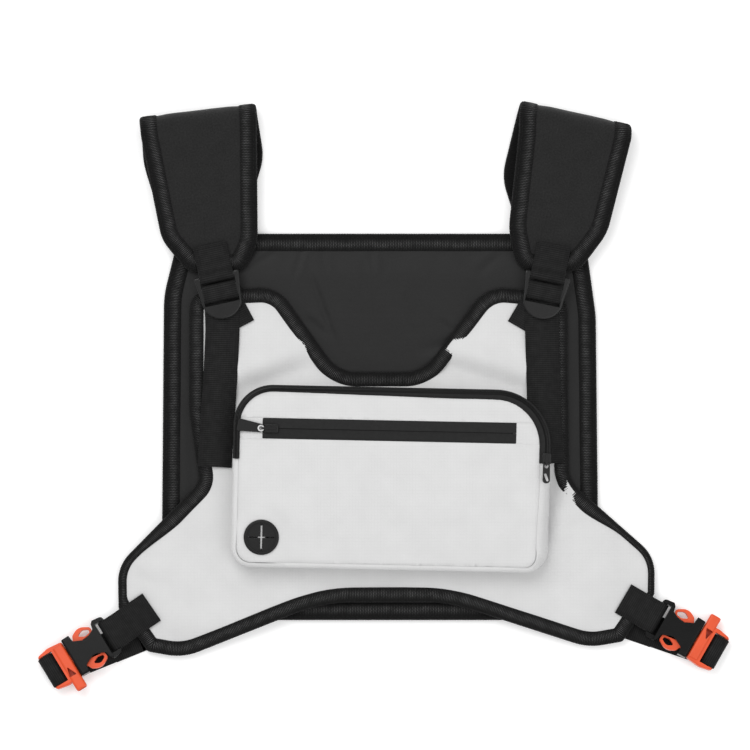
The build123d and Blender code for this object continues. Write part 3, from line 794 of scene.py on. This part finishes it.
def front_top(points):
    """Height of the front cover: crowned, folded softly where the ears and wings bend."""
    depth = distance(points, front_coarse)
    height = FRONT_TOP - 0.5 + 1.0 * smoothstep(depth, 6, 26)
    height += 0.35 * noise_at(points, 34, 3) + 0.10 * noise_at(points, 11, 4)
    return creased(height, points, FRONT_FOLDS) - drape(points)


def binding_share(points):
    """How much of the binding's width shows: it narrows round the tip of each wing."""
    x, y = points.T
    tip = smoothstep(np.abs(x), 158, 188) * smoothstep(y, -141, -128)
    return 1 - tip * np.where(x < 0, 0.42, 0.55)


def front_panel():
    def under(points):
        return FRONT_MIDDLE - 2.2 - drape(points)

    def floor(points):
        return FRONT_MIDDLE - 2.9 - drape(points)

    inner = inset_path(front_coarse, 3.5)
    cover = slab("front_cover", [inner], 2.6, front_top, under, RIPSTOP)
    riding("front", cover, "white_ripstop", "front_shell", "front_foam")
    lining = slab("front_mesh_lining", [inner], 6.0, under, floor, AIR_MESH)
    riding("front", lining, "air_mesh", "front_lining")

    profile = [(10.9, 1.6), (10.1, 2.75), (6.0, 3.05), (2.6, 2.9), (0.8, 2.5), (-0.1, 1.2), (-0.3, 0.0),
               (-0.1, -1.2), (0.8, -2.5), (2.6, -2.8), (10.1, -2.9), (10.9, -2.0)]
    edges = {name: cad_loops(name)[0] for name in FRONT_BINDINGS}
    just_inside = inset_path(front_outline, 1.0)
    nearest = [distance(front_outline, edge) + ~inside(just_inside, edge) * 5.0 for edge in edges.values()]
    zone = np.stack(nearest).argmin(0)
    share = binding_share(front_outline)
    for i, name in enumerate(FRONT_BINDINGS):
        tape = tape_round(f"{name}_tape", front_outline, profile,
                          lambda p, h: flat(p, FRONT_MIDDLE + h - drape(p)), zone == i, share)
        riding("front", tape, "grosgrain", name)
    rows = seam("front_stitches", front_outline, 8.9 * share, lambda p: FRONT_MIDDLE + 2.98 - drape(p))
    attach(rows, "front")


# ---------- pocket ----------

ZIP_CENTRE = np.array((-2.0, 36.2))
ZIP_LENGTH = 191.6
ZIP_WIDTH = 16.2
PORT_CENTRE = np.array((-97.4, -46.5))
PORT_HOLE = 10.8
PORT_NECK = 9.2
PORT_LEVEL = 36.2
# top of the white strip under the port's vertical slit: lining, and a painted highlight
PORT_LINING_GLINT_TOP = 35.95
ZIP_TAPE_LEVEL = 36.05
ZIP_TEETH_LEVEL = 35.95
SEAM_CORNERS = np.array([(-112.0, -64.0), (-96.0, -67.0), (110.0, -62.0)])


def face_inset(loop):
    """How far the face's edge lies inside the pocket's outline: most beside the zip's right end, and
    below it, where the gusset leans out."""
    right, top = into(outward_normals(loop), 0, POCKET_TURN).T
    x, y = pocket_axes(loop).T
    on_right = 7.6 + 2.3 * smoothstep(-y, -14, 55)
    on_top = 6.1 + 0.016 * np.clip(x, -90, 80)
    insets = [4.6 + 0 * x, on_right, on_top, 4.0 + 0 * x]
    share = np.clip([-right, right, top, -top], 0, 1) ** 2
    return (share * insets).sum(0) / share.sum(0)


def side_lean(loop):
    """How far the pocket's side slopes, 0 to 1: on its right, below the end of the main zip."""
    _, y = pocket_axes(loop).T
    return np.clip((face_inset(loop) - 4.6) / 5.0, 0, 1) * smoothstep(-y, -MAIN_ZIP_END + 1, 6)


pocket_inset = face_inset(pocket_outline)
face_outline = resampled(inset_path(pocket_outline, pocket_inset), 2.0)

FACE_FOLDS = [
    ((-92, -58), (-60, -92), 5.0, 0.5),
    ((96, -20), (104, -70), 6.0, 0.6),
    ((-20, -96), (60, -99), 5.0, 0.5),
    ((60, 10), (108, 2), 6.0, 0.4),
]


def face_top(points):
    """Height of the pocket's face: flat along its zip, crowned below it, and rounded over at its edge."""
    local = pocket_axes(points)
    depth = distance(points, face_outline)
    height = FACE_LEVEL - 1.6 * np.exp(-depth / 2.2)
    low = smoothstep(-(local[:, 1] - 26), 0, 40)
    height += 1.9 * smoothstep(depth, 2, 45) * low
    calm = smoothstep(np.abs(local[:, 1] - ZIP_CENTRE[1]), 7, 22)
    height += calm * (0.40 * noise_at(points, 32, 5) + 0.10 * noise_at(points, 9, 6))
    height = creased(height, points, FACE_FOLDS)
    near_port = np.linalg.norm(local - PORT_CENTRE, axis=1)
    return PORT_LEVEL + (height - PORT_LEVEL) * smoothstep(near_port, 13, 26)


def below_face(points, depth=1.0):
    return face_top(points) - depth


def cut(loop, axis, limit, keep_above):
    """The part of a closed outline above or below a line across one axis of the pocket's frame."""
    sign = 1 if keep_above else -1
    local = pocket_axes(loop)
    side = (local[:, axis] - limit) * sign
    kept = []
    for i in range(len(loop)):
        j = (i + 1) % len(loop)
        if side[i] >= 0:
            kept.append(local[i])
        if (side[i] >= 0) != (side[j] >= 0):
            kept.append(local[i] + (local[j] - local[i]) * side[i] / (side[i] - side[j]))
    return from_pocket(kept)


def circle(centre, radius):
    turn = np.arange(48) * 2 * pi / 48
    return np.asarray(centre) + radius * np.column_stack([np.cos(turn), np.sin(turn)])


def pocket():
    local = pocket_axes(pocket_outline)
    upper = local[:, 1] > MAIN_ZIP_END
    profile = [(2.4, 12.4), (1.3, 15.0), (0.7, 20.0), (0.4, 26.0), (0.4, 30.0), (1.0, 32.4), (2.4, 33.8),
               (2.6, 32.9), (1.7, 31.6), (1.2, 30.0), (1.2, 26.0), (1.5, 20.0), (2.1, 15.0), (3.2, 12.9)]
    lean = side_lean(pocket_outline)
    sag = smoothstep(-local[:, 1], 30, 60)
    rings = []
    for inset, level in profile:
        inset = inset + lean * 6.5 * max(0.0, level - 17) / 17 - sag * 0.11 * max(0.0, 17.5 - level) ** 2
        rings.append(flat(inset_path(pocket_outline, inset), level))
    gusset = grid_mesh("pocket_gusset_wall", np.stack(rings, 1), RIPSTOP, closed=True)
    riding("front", gusset, "white_ripstop", "pocket_gusset")
    zip_share = [(0.3, 33.0), (0.02, 33.8), (0.10, 35.0), (0.38, 35.75), (0.72, 35.95), (1.0, 35.6),
                 (1.12, 34.9), (1.08, 34.3), (0.7, 34.6), (0.4, 34.0)]
    seam_share = [(0.3, 30.0), (0.0, 29.0), (0.05, 31.4), (0.2, 33.2), (0.45, 34.5), (0.75, 35.0),
                  (0.94, 34.8), (0.985, 34.2), (0.9, 33.4), (0.6, 33.2)]
    away = np.linalg.norm(local[:, None] - SEAM_CORNERS[None], axis=2).min(1)
    open_seam = np.exp(-(away / 14) ** 2)
    drops = [10.0, 12.5, 11.0, 7.5, 3.4, 0.9, 0.3, 0.3, 0.6, 3.4]
    for name, share, fall, keep, material, slot, node in (
        ("main_zip_band", zip_share, [0.0] * 10, upper, ZIP_FABRIC, "zip_tape", "main_zip_tape"),
        ("pocket_seam_band", seam_share, drops, ~upper, RIPSTOP, "white_ripstop", "pocket_piping"),
    ):
        rings = []
        for (part, level), drop in zip(share, fall):
            opening = open_seam * smoothstep(part, 0.8, 0.9)
            path = inset_path(pocket_outline, pocket_inset * (part - 0.07 * opening))
            rings.append(flat(path, level - lean * drop - 0.9 * opening))
        band = grid_mesh(name, stretch(np.stack(rings, 1), keep), material)
        riding("front", band, slot, node)

    coil_line = resampled(pocket_outline, 0.7)
    on_zip = pocket_axes(coil_line)[:, 1] > MAIN_ZIP_END
    ridge = [(1.5, 35.4), (1.8, 36.2), (2.7, 36.4), (3.1, 36.4), (4.0, 36.2), (4.3, 35.4), (2.9, 35.2)]
    out = np.where(np.arange(len(coil_line)) % 2 == 0, 0.12, -0.12)
    rings = [flat(inset_path(coil_line, inset), level + out) for inset, level in ridge]
    coil = grid_mesh("main_zip_teeth", stretch(np.stack(rings, 1), on_zip), BLACK_PLASTIC)
    riding("front", coil, "zip_coil", "main_zip_coil")

    low_edge = ZIP_CENTRE[1] - ZIP_WIDTH / 2
    high_edge = ZIP_CENTRE[1] + ZIP_WIDTH / 2
    left_end = ZIP_CENTRE[0] - ZIP_LENGTH / 2
    right_end = ZIP_CENTRE[0] + ZIP_LENGTH / 2
    above = resampled(cut(face_outline, 1, high_edge, True), 2.0)
    below = resampled(cut(face_outline, 1, low_edge, False), 2.0)
    hole = from_pocket(circle(PORT_CENTRE, PORT_HOLE))
    face = slab("pocket_face_above_zip", [above], 2.2, face_top, below_face, RIPSTOP)
    riding("front", face, "white_ripstop", "pocket_face_upper")
    face = slab("pocket_face_below_zip", [below, hole], 2.2, face_top, below_face, RIPSTOP)
    riding("front", face, "white_ripstop", "pocket_face_lower")
    strip = cut(cut(face_outline, 1, high_edge + 0.3, False), 1, low_edge - 0.3, True)
    for side, limit, keep_above in (("left", left_end, False), ("right", right_end, True)):
        end = resampled(cut(strip, 0, limit, keep_above), 1.6)
        piece = slab(f"zip_end_{side}", [end], 2.0, lambda p: below_face(p, 0.35),
                     lambda p: below_face(p, 1.1), RIPSTOP)
        riding("front", piece, "white_ripstop")
    # A white strip under the vertical slit only, close beneath the port's disc: partly the pocket's lining,
    # partly a painted highlight that makes that slit show bright while the cross slit stays dark.
    x, y = PORT_NECK * 0.28, PORT_NECK * 0.95
    strip = from_pocket(PORT_CENTRE + np.array([(-x, -y), (x, -y), (x, y), (-x, y)]))
    lining_glint_strip = slab("cable_port_lining_glint_strip", [resampled(strip, 1.5)], 3.0, PORT_LINING_GLINT_TOP, 35.4, RIPSTOP)
    riding("front", lining_glint_strip, "pocket_lining")

    plan, triangles = filled([inset_path(pocket_coarse, 2.5)], 6.0)
    waves = flat(plan, 25.3 + 0.8 * noise_at(plan, 40, 8))
    divider = add_mesh("pocket_divider_sheet", waves, triangles, RIPSTOP, plan[triangles.ravel()])
    riding("front", divider, "pocket_lining", "pocket_divider")


def front_zip():
    """Both tapes of the face's zip, and the ribbed coil line between them."""
    half_length, half_width = ZIP_LENGTH / 2, ZIP_WIDTH / 2

    def ring(x, section, level):
        return [(*from_pocket([ZIP_CENTRE + (x, y)])[0], level + z) for y, z in section]

    xs = np.linspace(-half_length - 0.4, half_length + 0.4, 130)
    tape_level = [(-half_width - 1.0, -0.9), (-half_width - 0.2, -0.45), (-half_width * 0.6, -0.25),
                  (-1.9, -0.2), (-0.35, 0.02), (-0.1, -0.35)]
    for name, sign, nodes in (("upper", -1, ["front_zip_tape"]), ("lower", 1, [])):
        section = [(y * -sign, z) for y, z in tape_level]
        section += [(y, z - 0.6) for y, z in reversed(section)]
        rows = [ring(x, section, ZIP_TAPE_LEVEL) for x in xs[::sign]]
        tape = grid_mesh(f"front_zip_tape_{name}", rows, ZIP_FABRIC, sharp=60)
        riding("front", tape, "zip_tape", *nodes)
    rows = []
    for i, x in enumerate(np.arange(-half_length + 2, half_length - 1.9, 0.65)):
        out = 0.09 if i % 2 == 0 else -0.09
        section = [(-1.3, -0.5), (-1.1, -0.1 + out), (0, 0.02 + out), (1.1, -0.1 + out), (1.3, -0.5),
                   (0, -0.6)]
        rows.append(ring(x, section, ZIP_TEETH_LEVEL))
    riding("front", grid_mesh("front_zip_teeth", rows, BLACK_PLASTIC), "zip_coil", "front_zip_coil")


# ---------- shoulder pads ----------


def pad_place(side):
    """A function that lays (across, along) and a height above the pad's middle surface in the frame.
    Along is 0 where the front layer meets the fold, grows down the front, and is negative round the
    fold and down the rear layer."""
    middle, turn = PAD_FOLDS[side]
    arc = pi * PAD_FOLD_RADIUS

    def place(points, height):
        across, along = np.asarray(points, float).T
        height = np.broadcast_to(height, across.shape)
        angle = np.clip(-along / PAD_FOLD_RADIUS, 0, pi)
        front, rear = np.maximum(along, 0), np.maximum(-along - arc, 0)
        slope = PAD_SLOPE * smoothstep(front, 0, 30)
        down = -PAD_FOLD_OUTER + (PAD_FOLD_RADIUS + height) * np.sin(angle) - front * np.cos(slope) - rear
        level = PAD_FOLD_HEIGHT + (PAD_FOLD_RADIUS + height) * np.cos(angle) - front * np.sin(slope)
        return np.column_stack([out_of(np.column_stack([across, down]), middle, turn), level])

    return place


def pad_outline(side):
    """The pad's outline laid flat, from the CAD outlines of its front and rear layers."""
    middle, turn = PAD_FOLDS[side]
    arc = pi * PAD_FOLD_RADIUS
    halves = []
    for node in (f"pad_front_{side}", f"pad_rear_{side}"):
        local = into(cad_loops(node)[0], middle, turn)
        local[:, 1] -= local[:, 1].max()
        on_fold = local[:, 1] > -0.3
        start = next(i for i in range(len(local)) if on_fold[i - 1] and not on_fold[i])
        order = [(start - 1 + i) % len(local) for i in range(len(local) + 1)]
        order = order[: next(i for i in range(1, len(order)) if on_fold[order[i]]) + 1]
        halves.append(local[order])
    front, rear = halves
    front = np.column_stack([front[:, 0], -front[:, 1]])
    rear = np.column_stack([rear[:, 0], rear[:, 1] - arc])
    if front[0, 0] > front[-1, 0]:
        front = front[::-1]
    if rear[0, 0] < rear[-1, 0]:
        rear = rear[::-1]
    return np.vstack([front, rear])


def shoulder_pad(side):
    place = pad_place(side)
    outline = resampled(pad_outline(side), 0.625)
    for _ in range(6):
        outline = (np.roll(outline, 1, 0) + outline * 2 + np.roll(outline, -1, 0)) / 4
    coarse = resampled(outline, 3.0)
    inner = inset_path(coarse, 3.0)
    swell = 0.0

    def top(points):
        depth = distance(points, coarse)
        height = 2.1 + (0.9 + swell) * smoothstep(depth, 8, 22) + 0.18 * noise_at(points, 14, 11)
        patch = smoothstep(points[:, 1], outline[:, 1].max() - 36, outline[:, 1].max() - 18)
        return height - 0.5 * patch

    def bottom(points):
        depth = distance(points, coarse)
        return -2.2 - 0.6 * smoothstep(depth, 8, 22)

    body = slab(f"pad_{side}", [inner], 3.0, top, bottom, OXFORD, place=place)
    inflate(body, coarse, (10, 18), 1.6)
    nodes = [f"pad_{part}_{side}" for part in ("rear", "fold", "front")]
    finished(body, "pad_fabric", *nodes)
    bend_over_fold(body, side)

    profile = [(13.2, 1.7), (12.4, 2.75), (8.0, 2.95), (3.0, 2.85), (0.9, 2.4), (-0.1, 1.2), (-0.3, 0.0),
               (-0.1, -1.2), (0.9, -2.4), (3.0, -2.75), (12.4, -2.6), (13.2, -1.6)]
    tape = tape_round(f"pad_binding_{side}", outline, profile, place)
    bend_over_fold(finished(tape, "grosgrain"), side)
    for row, inset in (("outer", 2.4), ("inner", 11.2)):
        bend_over_fold(seam(f"pad_stitches_{row}_{side}", outline, inset, 2.98, place), side)


def bend_over_fold(piece, side):
    """Bakes the piece's transform into its mesh. It works out the ends of a line across the fold, at the
    parting height and sloping with the front layer, but does not use them."""
    x, y = PAD_FOLDS[side][0]
    start, end = ((x * MM, (y + lift * PAD_LEAN) * MM, (PAD_PARTING - lift) * MM) for lift in (0.8, -0.8))
    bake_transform(piece)
    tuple(start)
    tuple(end)


# ---------- webbing ----------


def lock_point(side, y, z):
    """A point in the middle of the ladder lock: y up from its top bar, z above its middle."""
    bar, turn = LOCKS[side][:2]
    return (*out_of([(0, y)], bar, turn)[0], LOCK_HEIGHT + z)


def buckle_point(side, x, y, z):
    """A point of the buckle's frame: x outwards from the mouth, z above its middle."""
    mouth, heading, roll = BUCKLES[side][:3]
    y, z = y * cos(roll) - z * sin(roll), y * sin(roll) + z * cos(roll)
    return (*out_of([(x, y)], mouth, heading)[0], BUCKLE_HEIGHT + z)


def arc_round(point, first, last):
    """Points of webbing round a bar, from the first angle to the last, by point(along, up)."""
    angles = [radians(a) for a in np.linspace(first, last, 9)]
    return [point(BAR_WRAP * cos(a), BAR_WRAP * sin(a)) for a in angles]


def box_stitch(name, centre, along, across, length, width, level):
    """A box of stitches on webbing that rides with the front."""
    along, across = np.array(along, float), np.array(across, float)
    signs = ((-1, -1), (-1, 1), (1, 1), (1, -1), (-1, -1))
    corners = [centre + along * a * length / 2 + across * b * width / 2 for a, b in signs]
    path = resampled(corners, 0.8, closed=False)
    box = stitches(name, flat(path, level(path)), length=1.9, gap=0.7, radius=0.22)
    riding("front", box, "webbing")


def shoulder_webbing(side):
    """The loop sewn to the pad, the strap sewn to the front panel, and its free tail, at one lock."""
    bar, turn, sewn_end, tail_end = LOCKS[side]
    across = np.array((cos(turn), sin(turn), 0))

    def lock(y, z):
        return lock_point(side, y, z)

    def lock_plan(y):
        return np.array(lock(y, 0)[:2])

    loop = [lock(25.3, -1.4), lock(16, -1.8), lock(9, -2.0), lock(6.0, -1.2), lock(3.4, 1.2)]
    loop += arc_round(lock, 70, 260) + [lock(4.0, -2.95)]
    piece = ribbon(f"pad_loop_webbing_{side}", loop, across, SHOULDER_WEB)
    riding("front", piece, "webbing", f"pad_loop_{side}")

    def on_patch(path):
        return LOCK_HEIGHT - 1.2 + 0.045 * (into(path, bar, turn)[:, 1] - 16)

    up_strap = (-sin(turn), cos(turn))
    box_stitch(f"pad_loop_stitches_{side}", lock_plan(16.5), up_strap, across[:2], 14, 21, on_patch)

    def round_bar(a, up):
        return lock(MIDDLE_BAR + a + MIDDLE_BAR_FLAT * np.sign(round(a, 3)), up)

    root = lock_plan(MIDDLE_BAR)
    away = np.array(sewn_end) - root
    away /= np.linalg.norm(away)
    sewn_across = np.array((away[1], -away[0], 0))
    if sewn_across @ across < 0:
        sewn_across = -sewn_across
    path = [(*sewn_end, SEWN_STRAP), (*(root + away * 22), SEWN_STRAP), (*(root + away * 9), 14.5)]
    path += [lock(MIDDLE_BAR + 2.0, -3.9), lock(MIDDLE_BAR + 4.6, -2.8)]
    path += arc_round(round_bar, -40, 90)[:-1] + arc_round(round_bar, 91, 240)
    path += [lock(MIDDLE_BAR - 2.0, -2.8)]
    strap = ribbon(f"shoulder_strap_webbing_{side}", path, [sewn_across] * 2 + [across] * 6, SHOULDER_WEB)
    finished(strap, "webbing", f"shoulder_strap_{side}")
    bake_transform(strap)
    box_stitch(f"shoulder_strap_stitches_{side}", np.array(sewn_end) - away * 8.0, away, sewn_across[:2],
               11, 21, lambda p: 15.05)

    top = lock_plan(MIDDLE_BAR - 7.2)
    run = np.array(tail_end) - top
    run *= 1 + (TAIL_OVERHANG if side == "right" else 0.0) / np.linalg.norm(run)
    heading = run / np.linalg.norm(run)
    sideways = np.array((-heading[1], heading[0]))
    outwards, phase = (1, 0) if side == "left" else (-1, 1.4)
    path = [(*top, 16.6), (*(top + heading * 5), 15.9)]
    for share in np.linspace(0.1, 1, 14):
        sway = 0.7 * sin(share * 5.2 + phase) * share
        low = 15.45 if share < 0.3 else 15.2
        aside = np.array((1.4 * smoothstep(share, 0.0, 0.2) * outwards, 0))
        path.append((*(top + run * share + sideways * sway + aside), low + 0.12 * sin(share * 11)))
    tail = ribbon(f"strap_tail_webbing_{side}", path, (*-sideways, 0), SHOULDER_WEB)
    finished(tail, "webbing", f"strap_tail_{side}")
    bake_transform(tail)


def on_ground(start, end, shares):
    """Points of a strap that lies on the ground between two plan points."""
    return [(*(start + (end - start) * share), GROUND_STRAP) for share in shares]


def side_webbing(side):
    """The loop sewn to the wing, and the side strap from the back panel round the male buckle."""
    patch_end, strap_start = (np.array(end) for end in BUCKLES[side][3:])
    across = np.array(buckle_point(side, 0, 1, 0)) - np.array(buckle_point(side, 0, 0, 0))

    def buckle(x, z):
        return buckle_point(side, x, 0, z)

    def wing_level(plan):
        return FRONT_TOP + 1.55 - drape(plan)

    run = np.array(buckle(REAR_BAR, 0)[:2]) - patch_end
    ahead = run / np.linalg.norm(run)
    patch_across = np.array((-ahead[1], ahead[0], 0))
    plan = np.array([patch_end + run * share for share in np.linspace(0, 0.72, 12)])
    path = [*flat(plan, wing_level(plan))]
    path += arc_round(lambda a, up: buckle(REAR_BAR + a, up), 100, -90)
    path += [buckle(REAR_BAR - 5, -2.9), buckle(REAR_BAR - 10, -3.4)]
    piece = ribbon(f"wing_webbing_{side}", path, [patch_across] * 3 + [across] * 3, SIDE_WEB)
    riding("front", piece, "webbing", f"wing_loop_{side}")
    box_stitch(f"wing_stitches_{side}", patch_end + ahead * 13, ahead, patch_across[:2], 19, 20,
               lambda p: wing_level(p) + 0.6)

    bar = np.array(buckle(OUTER_BAR, 0)[:2])
    back = (strap_start - bar) / np.linalg.norm(strap_start - bar)
    level_across = np.array((back[1], -back[0], 0))
    inner_end = bar + back * 72
    female_end = bar + back * 50
    path = on_ground(strap_start, inner_end, np.linspace(0, 1, 6))
    piece = ribbon(f"side_strap_back_{side}", path, level_across, SIDE_WEB)
    finished(piece, "webbing", f"side_strap_{side}")
    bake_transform(piece)
    path = on_ground(inner_end, female_end, np.linspace(-0.12, 1, 5))
    piece = ribbon(f"side_strap_middle_{side}", path, level_across, SIDE_WEB)
    finished(piece, "webbing")
    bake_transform(piece)

    path = [(*(bar + back * run), 0.87) for run in (54, 40, 28, 16)] + [(*(bar + back * 8), 2.7)]
    path += arc_round(lambda a, up: buckle(OUTER_BAR + a, up), -80, 90)
    path += [buckle(15.0, 2.75), buckle(12.6, 2.2), buckle(11.6, 0), buckle(10.2, -3.9), buckle(4.0, -5.4)]
    turns = [level_across] * 5 + [across] * 4
    piece = ribbon(f"side_strap_loop_{side}", path, turns, SIDE_WEB - 0.6)
    finished(piece, "webbing", f"strap_loop_{side}")
    start, end = ((*(bar + back * run) * MM, 0) for run in (48, 12))
    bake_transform(piece)
    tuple(start)
    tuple(end)


# ---------- CAD pieces that stay ----------


def finish_cad_pieces():
    """Gives each rigid CAD piece its material."""
    looks = {
        "front_zip_slider": BLACK_METAL,
        "front_zip_stops": BLACK_METAL,
        "front_zip_ring": RING_METAL,
        "front_zip_pull": PULL_RUBBER,
        "main_zip_slider": BLACK_METAL,
        "main_zip_pull": BLACK_METAL,
        "cable_port": BLACK_RUBBER,
    }
    for side in LOCKS:
        looks[f"ladder_lock_{side}"] = LOCK_PLASTIC
        looks[f"female_buckle_{side}"] = BLACK_PLASTIC
        for node in (f"male_buckle_{side}", f"prong_{side}_a", f"prong_{side}_b"):
            looks[node] = ORANGE_PLASTIC
    for node, material in looks.items():
        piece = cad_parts[node]
        piece.data.materials.clear()
        piece.data.materials.append(material)


# ---------- scene ----------

VIEW_CENTRE = (-4.2, 39.5)
VIEW_WIDTH = 570.0
CAMERA_HEIGHT = 8000.0
SENSOR = 36.0
SUBJECT_HEIGHT = 12.0


def area_light(name, place, aim, size, power):
    light = bpy.data.lights.new(name, "AREA")
    light.shape = "DISK"
    light.size = size
    light.energy = power
    made = bpy.data.objects.new(name, light)
    made.location = place
    made.rotation_mode = "QUATERNION"
    made.rotation_quaternion = (Vector(aim) - Vector(place)).to_track_quat("-Z", "Y")
    bpy.context.scene.collection.objects.link(made)


def studio():
    s = Shader("studio_floor", grey(0.93), 0.9, 0.1, Emission_Strength=0.2)
    s.shader.inputs["Emission Color"].default_value = (1, 1, 1, 1)
    where = s.node("TexCoord", out=3)
    s.tint(s.speckle(where, 0.4), grey(0.925), grey(0.94))
    size = 6000.0
    corners = [(-size, -size, 0), (size, -size, 0), (size, size, 0), (-size, size, 0)]
    floor = add_mesh("studio_floor", corners, [(0, 1, 2, 3)], s.material)

    world = bpy.data.worlds.new("studio")
    world.use_nodes = True
    world.node_tree.nodes["Background"].inputs[0].default_value = (1, 1, 1, 1)
    world.node_tree.nodes["Background"].inputs[1].default_value = 0.70
    bpy.context.scene.world = world
    area_light("key", (-0.7, 1.0, 2.0), (0, 0, 0), 1.5, 22)
    area_light("fill", (0.9, -0.5, 2.0), (0, 0, 0), 1.8, 12)
    bpy.context.scene.view_settings.view_transform = "Standard"

    camera = bpy.data.cameras.new("camera")
    camera.sensor_width = SENSOR
    camera.lens = SENSOR * (CAMERA_HEIGHT - SUBJECT_HEIGHT) / VIEW_WIDTH
    camera.clip_end = 100
    made = bpy.data.objects.new("camera", camera)
    made.location = (VIEW_CENTRE[0] * MM, VIEW_CENTRE[1] * MM, CAMERA_HEIGHT * MM)
    bpy.context.scene.collection.objects.link(made)
    bpy.context.scene.camera = made


back_panel()
front_panel()
pocket()
front_zip()
for work in (shoulder_pad, shoulder_webbing, side_webbing):
    for side in ("left", "right"):
        work(side)
finish_cad_pieces()
studio()
